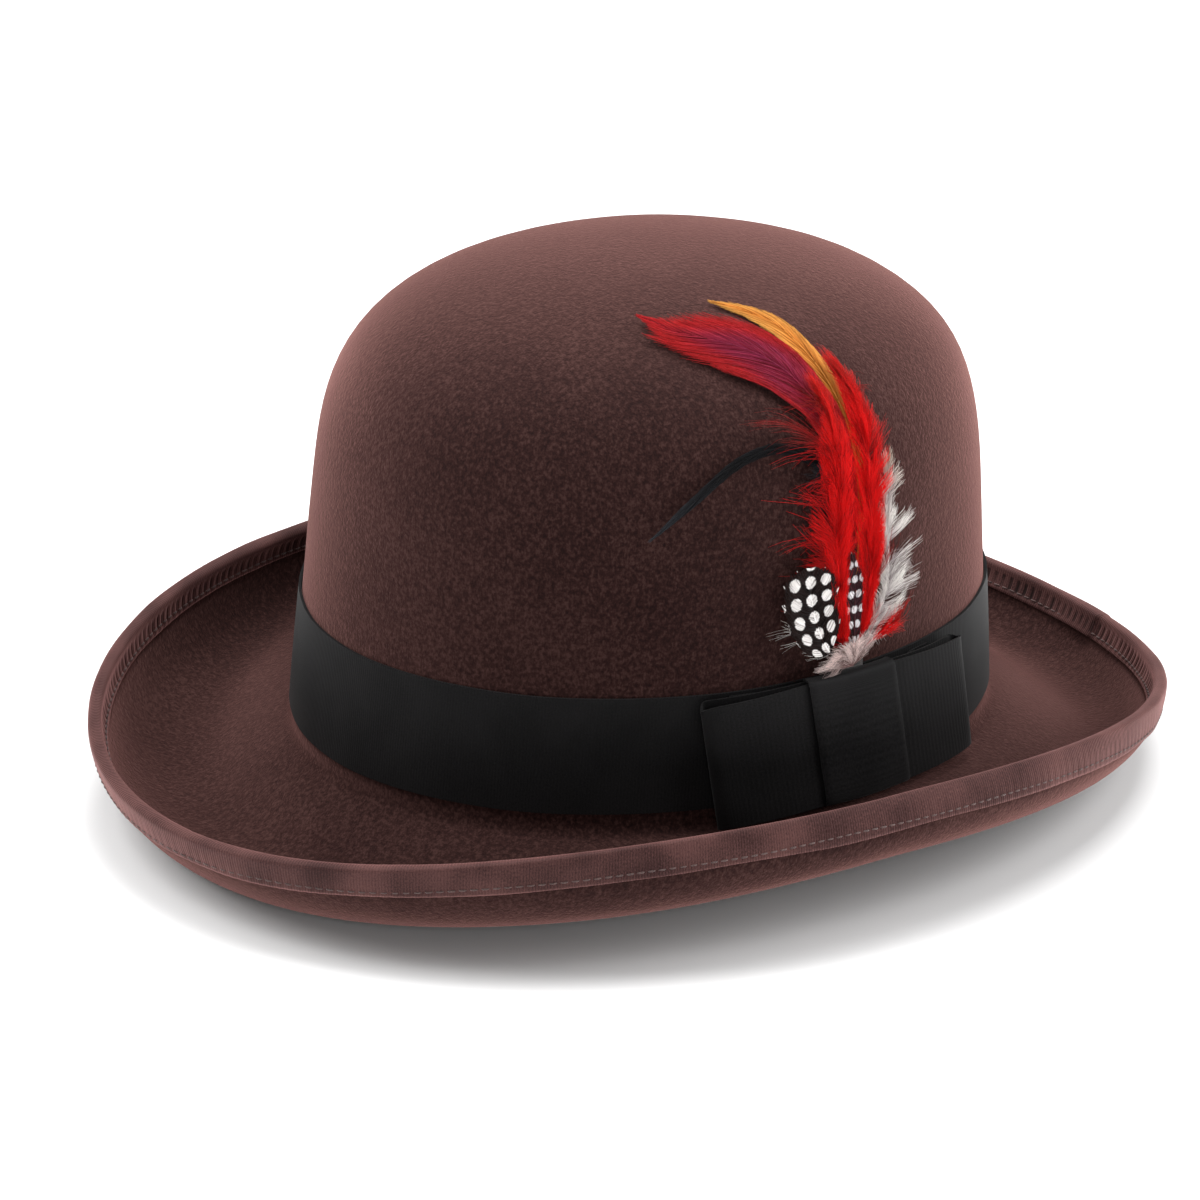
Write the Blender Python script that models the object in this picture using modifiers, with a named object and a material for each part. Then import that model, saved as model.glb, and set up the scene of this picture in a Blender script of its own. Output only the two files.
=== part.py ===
"""Bowler hat with a ribbon band, a flat side bow and a mount of feathers that slips behind it.

The front of the hat is -Y, the wearer's left is +X and up is +Z. Sizes are in millimetres and
are turned to metres as the points are made. The hat stands on the two troughs of its brim, so
the origin is on the table under the middle of the hat.

Run with: blender --background --python part.py
"""

import math
from collections import namedtuple

import bmesh
import bpy
from mathutils import Vector

MM = 0.001
GAP = 0.3  # clearance between pieces that touch

# Head opening, and the layers between the head and the outside of the crown
HEAD_HALF_WIDTH = 83.5
HEAD_HALF_LENGTH = 100.0
SWEATBAND_THICK = 1.2
LINING_THICK = 0.5
FELT_THICK = 2.5
WALL_THICK = SWEATBAND_THICK + GAP + LINING_THICK + GAP + FELT_THICK
CROWN_HALF_WIDTH = HEAD_HALF_WIDTH + WALL_THICK
CROWN_HALF_LENGTH = HEAD_HALF_LENGTH + WALL_THICK

# Crown: a slightly tapered wall under a full round dome
CROWN_HEIGHT = 135.0
DOME_START = 53.0
DOME_FULLNESS = 4.7
WIDTH_TAPER = 0.053
LENGTH_TAPER = 0.117
CROWN_RING_HEIGHTS = (20.0, 40.0, 53.0, 70.0, 85.0, 98.0, 109.0, 118.0, 125.0, 130.0, 133.4)

# Brim: a nearly straight run out from the crown, then a curl. Start and finish are the slope at
# each end, radius is the curl's and width is measured along the felt.
BrimShape = namedtuple("BrimShape", "start finish radius width")
SIDE = BrimShape(start=-2.7, finish=130.6, radius=10.4, width=51.2)
FRONT = BrimShape(start=-37.5, finish=78.6, radius=25.7, width=73.0)
BACK = BrimShape(start=-31.0, finish=77.0, radius=18.2, width=64.0)
BRIM_BLEND = 1.64  # how late the side shape gives way to the front and back shapes
END_DIP = 1.1  # how far the brim's break dips at the front and the back
FILLET = 4.0  # radius where the crown turns into the brim

# Facets round the hat, and rings along the fillet, the brim's run and its curl
SEGMENTS = 48
FILLET_STEPS = 2
RUN_STEPS = 2
CURL_STEPS = 8

# Ribbon folded over the brim's edge, and its thread
BINDING_THICK = 0.5
BINDING_LEG = 7.0
THREAD_RADIUS = 0.25
STITCH_INSET = 5.4

# Band
BAND_LOW = 5.6
BAND_HIGH = 38.8
BAND_THICK = 0.8

# Bow: places round the crown are degrees from the wearer's left, at the bow's middle height
BOW_RIBBON = 0.5
BOW_LOW = 3.0
BOW_HIGH = 40.0
BOW_MIDDLE = 0.5 * (BOW_LOW + BOW_HIGH)
BOW_LEAN = 0.1  # degrees round the crown for each millimetre of height
WRAP_RIBBON = 0.6
WRAP_TURNS = (-3.7, 0.2, 4.1, 8.0, 12.0)

# Sweatband, its reed and the lining
SWEATBAND_LOW = 0.6
SWEATBAND_HIGH = 44.0
REED_RADIUS = 1.1
LINING_LOW = 8.0
LINING_SEAM = 109.0
LINING_SAG = 3.0  # extra room that the lining keeps under the tip of the crown

# Feather mount
QUILL_TURN = 3.1
QUILL_LOW = 10.0
QUILL_HIGH = 42.0
QUILL_BACK = BAND_THICK + 2 * GAP
QUILL_FRONT = 3.8
HEAD_LOW = 42.2
HEAD_HIGH = 46.0
HEAD_FRONT = 8.0
BLADE_LOW = HEAD_HIGH + 1.0
BLADE_THICK = 0.5
BLADE_PITCH = BLADE_THICK + GAP

MATERIALS = {
    # name: (colour, roughness, metallic)
    "felt": ((0.115, 0.058, 0.052, 1.0), 0.85, 0.0),
    "binding": ((0.090, 0.045, 0.041, 1.0), 0.7, 0.0),
    "brown_thread": ((0.070, 0.036, 0.033, 1.0), 0.7, 0.0),
    "band_ribbon": ((0.012, 0.012, 0.014, 1.0), 0.6, 0.0),
    "sweatband_leather": ((0.210, 0.105, 0.050, 1.0), 0.5, 0.0),
    "reed": ((0.160, 0.085, 0.045, 1.0), 0.6, 0.0),
    "satin_lining": ((0.300, 0.210, 0.130, 1.0), 0.35, 0.0),
    "red_feather": ((0.430, 0.012, 0.018, 1.0), 0.7, 0.0),
    "golden_feather": ((0.700, 0.330, 0.030, 1.0), 0.7, 0.0),
    "black_feather": ((0.020, 0.020, 0.024, 1.0), 0.6, 0.0),
    "pale_feather": ((0.620, 0.570, 0.480, 1.0), 0.75, 0.0),
    "spotted_feather": ((0.060, 0.058, 0.060, 1.0), 0.65, 0.0),
    "down": ((0.330, 0.240, 0.200, 1.0), 0.9, 0.0),
    "quill_thread": ((0.080, 0.065, 0.055, 1.0), 0.8, 0.0),
}


# ---------------------------------------------------------------- shape of the hat

def curl_run(shape):
    """Length of a brim shape's straight run, before its curl."""
    return shape.width - shape.radius * math.radians(shape.finish - shape.start)


def trough_depth(shape):
    """How far the top face of a brim shape drops below the break."""
    start = math.radians(shape.start)
    return -curl_run(shape) * math.sin(start) + shape.radius * (1.0 - math.cos(start))


def rim_reach(shape):
    """How far a brim shape's edge stands out from the crown."""
    start = math.radians(shape.start)
    finish = math.radians(shape.finish)
    return curl_run(shape) * math.cos(start) + shape.radius * (math.sin(finish) - math.sin(start))


STAND_HEIGHT = max(trough_depth(FRONT), trough_depth(BACK)) + END_DIP + FELT_THICK
CENTRE_SHIFT = 0.5 * (rim_reach(FRONT) - rim_reach(BACK))


def end_share(turn):
    """0 at the wearer's sides, 1 at the front and the back."""
    return abs(math.sin(math.radians(turn))) ** BRIM_BLEND


def break_height(turn):
    """Height of the line where the crown meets the brim, before the hat is stood up."""
    return -END_DIP * end_share(turn)


def brim_shape(turn):
    """Brim shape at a place round the hat, mixed from the side and an end."""
    share = end_share(turn)
    end = FRONT if math.sin(math.radians(turn)) < 0.0 else BACK
    return BrimShape(*(side * (1.0 - share) + far * share for side, far in zip(SIDE, end)))


def stood_up(x, y, z):
    """Point in metres in the hat's frame, with the origin on the table."""
    return Vector((x, y + CENTRE_SHIFT, z + STAND_HEIGHT)) * MM


def place(turn, reach, rise):
    """Point at a reach out from the base of the crown and a rise above its break."""
    angle = math.radians(turn)
    out = Vector((math.cos(angle) / CROWN_HALF_WIDTH, math.sin(angle) / CROWN_HALF_LENGTH))
    out.normalize()
    x = CROWN_HALF_WIDTH * math.cos(angle) + out.x * reach
    y = CROWN_HALF_LENGTH * math.sin(angle) + out.y * reach
    return stood_up(x, y, break_height(turn) + rise)


def crown_point(turn, height):
    """Point on the outer face of the crown."""
    angle = math.radians(turn)
    share = height / CROWN_HEIGHT
    rise = max(0.0, (height - DOME_START) / (CROWN_HEIGHT - DOME_START))
    dome = math.sqrt(max(0.0, 1.0 - rise ** DOME_FULLNESS))
    x = CROWN_HALF_WIDTH * math.cos(angle) * (1.0 - WIDTH_TAPER * share) * dome
    y = CROWN_HALF_LENGTH * math.sin(angle) * (1.0 - LENGTH_TAPER * share) * dome
    return stood_up(x, y, break_height(turn) * (1.0 - share) + height)


def crown_slopes(turn, height):
    """Change of crown_point for a degree of turn and for a millimetre of height."""
    step = 0.05
    round_crown = (crown_point(turn + step, height) - crown_point(turn - step, height)) / (2 * step)
    up_crown = (crown_point(turn, height + step) - crown_point(turn, height - step)) / (2 * step)
    return round_crown, up_crown


def on_crown(turn, height, standoff):
    """Point at a standoff from the outer face of the crown, inwards where it is negative."""
    round_crown, up_crown = crown_slopes(turn, height)
    return crown_point(turn, height) + round_crown.cross(up_crown).normalized() * (standoff * MM)


def on_brim(turn, travel, lift):
    """Point at a travel along the brim from the break, and a lift off its top face."""
    shape = brim_shape(turn)
    start = math.radians(shape.start)
    finish = math.radians(shape.finish)
    run = curl_run(shape)
    slope = min(finish, start + max(0.0, travel - run) / shape.radius)
    beyond = max(0.0, travel - shape.width)
    reach = min(travel, run) * math.cos(start) + shape.radius * (math.sin(slope) - math.sin(start))
    rise = min(travel, run) * math.sin(start) + shape.radius * (math.cos(start) - math.cos(slope))
    reach += beyond * math.cos(finish) - lift * math.sin(slope)
    rise += beyond * math.sin(finish) + lift * math.cos(slope)
    return place(turn, reach, rise)


def on_fillet(turn, share):
    """Point on the fillet between the crown and the brim, from the wall (0) to the brim (1)."""
    start = math.radians(brim_shape(turn).start)
    slope = -0.5 * math.pi + share * (start + 0.5 * math.pi)
    tangent = fillet_tangent(turn)
    return place(turn, FILLET * (1.0 + math.sin(slope)), tangent - FILLET * math.cos(slope))


def fillet_tangent(turn):
    """Distance from the break to either end of the fillet."""
    return FILLET * math.tan(0.5 * math.radians(90.0 + brim_shape(turn).start))


def turns():
    """Places round the hat, the same for every ring so that their facets stay parallel."""
    return [360.0 * index / SEGMENTS for index in range(SEGMENTS)]


# ---------------------------------------------------------------- mesh helpers

def new_collection(name):
    """Collection linked to the scene."""
    collection = bpy.data.collections.new(name)
    bpy.context.scene.collection.children.link(collection)
    return collection


def make_material(name):
    """Principled material from the table of finishes."""
    colour, roughness, metallic = MATERIALS[name]
    material = bpy.data.materials.new(name)
    material.use_nodes = True
    shader = material.node_tree.nodes["Principled BSDF"]
    shader.inputs["Base Color"].default_value = colour
    shader.inputs["Roughness"].default_value = roughness
    shader.inputs["Metallic"].default_value = metallic
    return material


def add_object(name, data, material, collection):
    """Object for one piece, with its own material."""
    piece = bpy.data.objects.new(name, data)
    piece.data.materials.append(make_material(material))
    collection.objects.link(piece)
    return piece


def skin(name, rows, material, collection, ring=True, tip=None, caps=False):
    """Surface with quads between rows of points.

    ring closes each row on itself, tip joins the first row to one point, and caps closes the
    first and the last row with a face each.
    """
    mesh = bpy.data.meshes.new(name)
    shape = bmesh.new()
    grid = [[shape.verts.new(point) for point in row] for row in rows]
    for upper, lower in zip(grid, grid[1:]):
        count = len(upper)
        for index in range(count if ring else count - 1):
            after = (index + 1) % count
            shape.faces.new((upper[index], lower[index], lower[after], upper[after]))
    if tip is not None:
        top = shape.verts.new(tip)
        first = grid[0]
        for index, vert in enumerate(first):
            shape.faces.new((top, vert, first[(index + 1) % len(first)]))
    if caps:
        shape.faces.new(grid[0])
        shape.faces.new(reversed(grid[-1]))
        bmesh.ops.recalc_face_normals(shape, faces=shape.faces)
    shape.to_mesh(mesh)
    shape.free()
    mesh.shade_smooth()
    return add_object(name, mesh, material, collection)


def thicken(piece, thickness, side):
    """Solid wall from an open surface: side 1 grows along its normals and -1 against them."""
    wall = piece.modifiers.new("wall", "SOLIDIFY")
    wall.thickness = thickness * MM
    wall.offset = side
    wall.use_even_offset = True
    return piece


def ring_tube(name, centres, radius, sides, material, collection):
    """Closed tube through a ring of points."""
    curve = bpy.data.curves.new(name, "CURVE")
    curve.dimensions = "3D"
    curve.bevel_depth = radius * MM
    curve.bevel_resolution = sides
    spline = curve.splines.new("POLY")
    spline.points.add(len(centres) - 1)
    for point, centre in zip(spline.points, centres):
        point.co = (*centre, 1.0)
    spline.use_cyclic_u = True
    return add_object(name, curve, material, collection)


def smooth_path(stations, steps):
    """Stations joined by a Catmull-Rom curve, with steps points for each span."""
    ends = [stations[0], *stations, stations[-1]]
    path = []
    for span in range(len(stations) - 1):
        before, first, second, after = ends[span:span + 4]
        for step in range(steps):
            share = step / steps
            path.append(tuple(
                0.5 * (2 * b + (c - a) * share + (2 * a - 5 * b + 4 * c - d) * share ** 2
                       + (3 * b - a - 3 * c + d) * share ** 3)
                for a, b, c, d in zip(before, first, second, after)))
    path.append(tuple(stations[-1]))
    return path


# ---------------------------------------------------------------- felt and binding

def build_felt(collection):
    """Crown and brim, blocked from one hood of felt."""
    heights = sorted(CROWN_RING_HEIGHTS, reverse=True)
    rows = [[crown_point(turn, height) for turn in turns()] for height in heights]
    for step in range(FILLET_STEPS + 1):
        rows.append([on_fillet(turn, step / FILLET_STEPS) for turn in turns()])
    for step in range(1, RUN_STEPS + CURL_STEPS + 1):
        row = []
        for turn in turns():
            shape = brim_shape(turn)
            run = curl_run(shape)
            near = fillet_tangent(turn)
            if step <= RUN_STEPS:
                travel = near + (run - near) * step / RUN_STEPS
            else:
                travel = run + (shape.width - run) * (step - RUN_STEPS) / CURL_STEPS
            row.append(on_brim(turn, travel, 0.0))
        rows.append(row)
    apex = stood_up(0.0, 0.0, CROWN_HEIGHT)
    felt = skin("felt_body", rows, "felt", collection, tip=apex)
    return thicken(felt, FELT_THICK, -1)


def build_binding(collection):
    """Ribbon folded over the brim's edge: a leg on each face, joined round the rim."""
    top = GAP
    under = -FELT_THICK - GAP
    middle = 0.5 * (top + under)
    half = 0.5 * (top - under)
    section = [(-BINDING_LEG, top), (-0.5 * BINDING_LEG, top), (0.0, top)]
    section += [(GAP + 0.7 * half, middle + 0.7 * half), (GAP + half, middle)]
    section += [(GAP + 0.7 * half, middle - 0.7 * half)]
    section += [(0.0, under), (-0.5 * BINDING_LEG, under), (-BINDING_LEG, under)]
    rows = [[on_brim(turn, brim_shape(turn).width + travel, lift) for turn in turns()]
            for travel, lift in section]
    thicken(skin("brim_binding", rows, "binding", collection), BINDING_THICK, 1)
    lift = GAP + BINDING_THICK + GAP + THREAD_RADIUS
    for name, side in (("binding_thread_upper", lift), ("binding_thread_under", -FELT_THICK - lift)):
        centres = [on_brim(turn, brim_shape(turn).width - STITCH_INSET, side) for turn in turns()]
        ring_tube(name, centres, THREAD_RADIUS, 0, "brown_thread", collection)


# ---------------------------------------------------------------- band and bow

def build_band(collection):
    """Ribbon round the foot of the crown."""
    heights = (BAND_HIGH, 0.5 * (BAND_HIGH + BAND_LOW), BAND_LOW)
    rows = [[on_crown(turn, height, GAP) for turn in turns()] for height in heights]
    thicken(skin("hat_band", rows, "band_ribbon", collection), BAND_THICK, 1)


def bow_point(turn, height, standoff):
    """Point of the bow, which leans a little round the crown as it rises."""
    return on_crown(turn + BOW_LEAN * (BOW_MIDDLE - height), height, standoff)


def upright_ribbon(name, path, low, high, collection):
    """Ribbon that stands on its edge along a path of turns and standoffs round the crown."""
    heights = (high, 0.5 * (high + low), low)
    rows = [[bow_point(turn, height, standoff) for turn, standoff in path] for height in heights]
    return skin(name, rows, "band_ribbon", collection, ring=False)


def loop_path(inner, outer):
    """Inside of a flattened loop, from its inner end out to the fold and back."""
    length = outer - inner
    under = ((0.0, 5.4), (0.3, 5.4), (0.6, 5.2), (0.88, 4.5), (0.98, 4.3))
    over = ((1.0, 4.9), (0.98, 5.6), (0.88, 6.1), (0.6, 6.3), (0.3, 6.0), (0.0, 5.8))
    stations = [(inner + length * share, standoff) for share, standoff in under + over]
    return smooth_path(stations, 2)


def build_bow(collection):
    """Flat bow over the band's join: a backing, two loops and the wrap round their middle."""
    front = QUILL_FRONT + GAP
    backing = [(-15.5, QUILL_BACK), (-11.5, QUILL_BACK), (-9.5, 2.6), (-7.0, front), (-1.5, front),
               (4.0, front), (9.5, front), (15.0, front), (17.5, 2.6), (19.5, QUILL_BACK),
               (23.5, QUILL_BACK)]
    strip = upright_ribbon("bow_backing", backing, BOW_LOW + 3.0, BOW_HIGH - 2.0, collection)
    thicken(strip, BOW_RIBBON, 1)
    loops = (("bow_front_loop", -1.0, -20.6, -1), ("bow_rear_loop", 9.6, 30.8, 1))
    for name, inner, outer, side in loops:
        loop = upright_ribbon(name, loop_path(inner, outer), BOW_LOW, BOW_HIGH, collection)
        thicken(loop, BOW_RIBBON, -side)
    inside = 6.3 + BOW_RIBBON + GAP
    section = [(4.9, BOW_HIGH + 1.0), (6.0, BOW_HIGH + 1.0), (inside - 0.2, BOW_HIGH + 0.6)]
    section += [(inside, BOW_HIGH - 4.0), (inside, BOW_MIDDLE), (inside, BOW_LOW + 4.0)]
    section += [(inside - 0.2, BOW_LOW - 0.2), (6.0, BOW_LOW - 0.6), (4.9, BOW_LOW - 0.6)]
    rows = [[bow_point(turn, height, standoff) for turn in WRAP_TURNS] for standoff, height in section]
    wrap = skin("bow_wrap", rows, "band_ribbon", collection, ring=False)
    thicken(wrap, WRAP_RIBBON, 1)


# ---------------------------------------------------------------- inside of the hat

def build_sweatband(collection):
    """Leather band that the head touches, with its reed, its thread and its small bow."""
    outside = -(FELT_THICK + GAP + LINING_THICK + GAP)
    inside = outside - SWEATBAND_THICK
    heights = (SWEATBAND_HIGH, 0.5 * (SWEATBAND_HIGH + SWEATBAND_LOW), SWEATBAND_LOW)
    rows = [[on_crown(turn, height, outside) for turn in turns()] for height in heights]
    thicken(skin("sweatband", rows, "sweatband_leather", collection), SWEATBAND_THICK, -1)

    reed = [on_crown(turn, SWEATBAND_LOW - GAP - REED_RADIUS, outside - 0.5 * SWEATBAND_THICK)
            for turn in turns()]
    ring_tube("sweatband_reed", reed, REED_RADIUS, 1, "reed", collection)

    thread = [on_crown(turn, SWEATBAND_LOW + 2.2, inside - GAP - THREAD_RADIUS) for turn in turns()]
    ring_tube("sweatband_thread", thread, THREAD_RADIUS, 0, "brown_thread", collection)
    build_sweatband_bow(inside, collection)


def build_sweatband_bow(inside, collection):
    """Small ribbon bow over the sweatband's join at the back: an outline of two loops and a knot."""
    half_width = 11.0
    half_height = 4.0
    knot_half = 2.0
    thick = 1.4
    centre_height = 11.0
    room = 1.5  # the flat bow stands this far off, because the band behind it is curved
    curve = bpy.data.curves.new("sweatband_bow", "CURVE")
    curve.dimensions = "2D"
    curve.fill_mode = "BOTH"
    curve.extrude = 0.5 * thick * MM
    quarter = [(knot_half, 1.6), (0.55 * half_width, half_height), (half_width, 0.8 * half_height)]
    right = quarter + [(x, -z) for x, z in reversed(quarter)]
    outline = right + [(-x, -z) for x, z in right]
    spline = curve.splines.new("POLY")
    spline.points.add(len(outline) - 1)
    for point, (x, z) in zip(spline.points, outline):
        point.co = (x * MM, z * MM, 0.0, 1.0)
    spline.use_cyclic_u = True
    bow = add_object("sweatband_bow", curve, "band_ribbon", collection)
    bow.location = on_crown(90.0, centre_height, inside - room - 0.5 * thick)
    bow.rotation_euler = (math.radians(90.0), 0.0, 0.0)


def lining_standoff(height):
    """Outer face of the lining, which falls away from the felt above the sweatband."""
    share = max(0.0, (height - SWEATBAND_HIGH) / (CROWN_HEIGHT - SWEATBAND_HIGH))
    return -(FELT_THICK + GAP) - LINING_SAG * share ** 2


def build_lining(collection):
    """Satin lining: a side wall, and an oval tip that closes it under the crown."""
    side_heights = [height for height in CROWN_RING_HEIGHTS if height <= LINING_SEAM]
    side_heights = sorted(side_heights + [LINING_LOW], reverse=True)
    rows = [[on_crown(turn, height, lining_standoff(height)) for turn in turns()]
            for height in side_heights]
    thicken(skin("lining_side", rows, "satin_lining", collection), LINING_THICK, -1)

    tip_heights = [height for height in CROWN_RING_HEIGHTS if height > LINING_SEAM]
    tip_heights = sorted(tip_heights + [LINING_SEAM + 1.0], reverse=True)
    rows = [[on_crown(turn, height, lining_standoff(height)) for turn in turns()]
            for height in tip_heights]
    apex = stood_up(0.0, 0.0, CROWN_HEIGHT + lining_standoff(CROWN_HEIGHT))
    tip = skin("lining_tip", rows, "satin_lining", collection, tip=apex)
    thicken(tip, LINING_THICK, -1)


# ---------------------------------------------------------------- feather mount

def build_quill_wrap(collection):
    """Thread-bound quills: a flat tang in the pocket behind the bow, and a head above it."""
    levels = [(QUILL_LOW, 3.0, QUILL_FRONT), (0.5 * (QUILL_LOW + QUILL_HIGH), 3.4, QUILL_FRONT),
              (QUILL_HIGH, 3.4, QUILL_FRONT), (HEAD_LOW, 5.5, HEAD_FRONT), (HEAD_HIGH, 5.5, HEAD_FRONT)]
    rows = []
    for height, half_turn, front in reversed(levels):
        spread = [QUILL_TURN - half_turn, QUILL_TURN, QUILL_TURN + half_turn]
        back = [on_crown(turn, height, QUILL_BACK) for turn in reversed(spread)]
        rows.append([on_crown(turn, height, front) for turn in spread] + back)
    skin("quill_wrap", rows, "quill_thread", collection, caps=True)


def build_blade(name, stations, layer, material, collection):
    """Feather as a thin blade that follows the crown.

    Each station is a turn, a height and the blade's width there. Layers are counted out from
    the crown, so that blades which cross keep clear of each other.
    """
    standoff = QUILL_BACK + layer * BLADE_PITCH
    path = smooth_path(stations, 3)
    rows = []
    for index, (turn, height, width) in enumerate(path):
        before = path[max(0, index - 1)]
        after = path[min(len(path) - 1, index + 1)]
        round_crown, up_crown = crown_slopes(turn, height)
        normal = round_crown.cross(up_crown).normalized()
        along = crown_point(after[0], after[1]) - crown_point(before[0], before[1])
        side = along.cross(normal).normalized() * (0.5 * width * MM)
        turn_step = side.dot(round_crown) / round_crown.length_squared
        height_step = side.dot(up_crown) / up_crown.length_squared
        back = [(across, 0.0) for across in (-1.0, -0.5, 0.0, 0.5, 1.0)]
        front = [(across, BLADE_THICK * (1.0 - 0.5 * across ** 2)) for across in (0.5, 0.0, -0.5)]
        rows.append([
            on_crown(turn + across * turn_step, height + across * height_step, standoff + lift)
            for across, lift in back + front])
    skin(name, rows, material, collection, caps=True)


def build_feathers(collection):
    """The mount's feathers, from the one next to the crown outwards."""
    foot = BLADE_LOW
    feathers = (
        ("golden_hackle", "golden_feather", 0,
         ((4.6, foot, 4), (5.6, 75, 6), (5.6, 104, 9), (4.6, 118, 14), (1.5, 125.5, 11),
          (-3.0, 129.5, 7), (-8.6, 131.6, 2))),
        ("red_hackle", "red_feather", 1,
         ((3.6, foot, 4), (3.4, 75, 6), (2.6, 102, 10), (0.0, 116, 18), (-6.0, 124.5, 16),
          (-16.0, 128.5, 11), (-27.0, 129.8, 7), (-37.0, 130.6, 2))),
        ("black_hackle", "black_feather", 2,
         ((2.6, foot, 4), (1.8, 80, 6), (-1.0, 98, 10), (-8.0, 102.5, 11), (-16.0, 98, 10),
          (-24.0, 91, 7), (-30.0, 84, 2))),
        ("grizzly_hackle", "pale_feather", 3,
         ((7.4, foot + 0.6, 4), (10.4, 56, 8), (12.8, 68, 13), (12.6, 85, 13), (13.0, 104, 5))),
        ("rear_plume", "red_feather", 4,
         ((4.4, foot, 4), (6.4, 57, 8), (7.4, 75, 13), (7.4, 92, 14), (8.8, 108, 12))),
        ("front_plume", "red_feather", 5,
         ((2.4, foot, 4), (0.8, 57, 7), (0.8, 75, 12), (1.6, 92, 13), (3.2, 108, 12))),
        ("slim_guinea_feather", "spotted_feather", 6,
         ((3.2, foot, 3), (3.0, 56, 5), (2.9, 66, 5), (3.0, 73.5, 2))),
        ("broad_guinea_feather", "spotted_feather", 7,
         ((-1.0, foot + 0.6, 4), (-3.0, 52, 10), (-4.6, 59, 16), (-5.6, 67, 16), (-6.2, 73.5, 6))),
        ("red_tuft", "red_feather", 7,
         ((7.6, foot + 0.6, 4), (9.6, 51, 9), (11.4, 56, 8))),
        ("down_tuft", "down", 9,
         ((2.0, HEAD_LOW, 12), (1.6, 46, 18), (1.0, 51, 8))),
    )
    for name, material, layer, stations in feathers:
        build_blade(name, stations, layer, material, collection)


def main():
    """Build the whole hat."""
    for leftover in list(bpy.data.objects):
        bpy.data.objects.remove(leftover, do_unlink=True)
    hat = new_collection("bowler_hat")
    build_felt(hat)
    build_binding(hat)
    build_band(hat)
    build_bow(hat)
    build_sweatband(hat)
    build_lining(hat)
    build_quill_wrap(hat)
    build_feathers(hat)


main()
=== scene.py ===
"""Bowler hat in brown felt, with its bound brim, black ribbon band, side bow and feather mount.

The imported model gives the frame: front -Y, the wearer's left +X, up +Z and metres throughout.
Sizes here are in millimetres, and are turned to metres as points are made.
"""

import logging
import math
from dataclasses import dataclass, field
from enum import Enum
from typing import Callable, Optional, Sequence, Union

import bpy
import numpy as np
from mathutils import Matrix, Vector


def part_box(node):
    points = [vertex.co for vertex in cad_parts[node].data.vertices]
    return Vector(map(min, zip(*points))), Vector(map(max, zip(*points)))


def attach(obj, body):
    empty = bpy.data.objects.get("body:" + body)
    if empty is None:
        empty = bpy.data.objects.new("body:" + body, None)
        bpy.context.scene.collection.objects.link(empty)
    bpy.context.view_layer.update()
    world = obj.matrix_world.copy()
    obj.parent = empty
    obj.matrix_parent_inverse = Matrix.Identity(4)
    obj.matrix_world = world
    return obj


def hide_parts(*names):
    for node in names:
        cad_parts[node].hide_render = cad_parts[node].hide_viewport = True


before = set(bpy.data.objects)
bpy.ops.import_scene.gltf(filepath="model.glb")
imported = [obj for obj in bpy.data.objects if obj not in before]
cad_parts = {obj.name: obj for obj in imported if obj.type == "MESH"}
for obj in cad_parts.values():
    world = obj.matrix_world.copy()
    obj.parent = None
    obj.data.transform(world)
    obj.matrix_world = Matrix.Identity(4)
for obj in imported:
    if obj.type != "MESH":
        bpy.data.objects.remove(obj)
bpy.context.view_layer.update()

LOG = logging.getLogger("bowler_hat")
MM = 0.001
GAP = 0.3  # millimetres between layers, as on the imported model
HAT = "hat"
MOUNT = "feather_mount"
TURN = 360.0  # degrees in a full turn
RIB = 0.8  # pitch of the ribs at a ribbon's edge
BINDING_LENGTH = 960.0
BINDING_STITCHES = 312
STITCH_TAPER = np.array([0.6, 1.0, 1.0, 1.0, 0.6])  # a stitch is thinner where it enters

Points = np.ndarray
Colour = tuple[float, float, float]
Axes = tuple[float, float, float]
Station = tuple[float, float, float]  # turn, height and width
Shape = Callable[[Points, Points], Points]


# ---------------------------------------------------------------- shader maths

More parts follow.
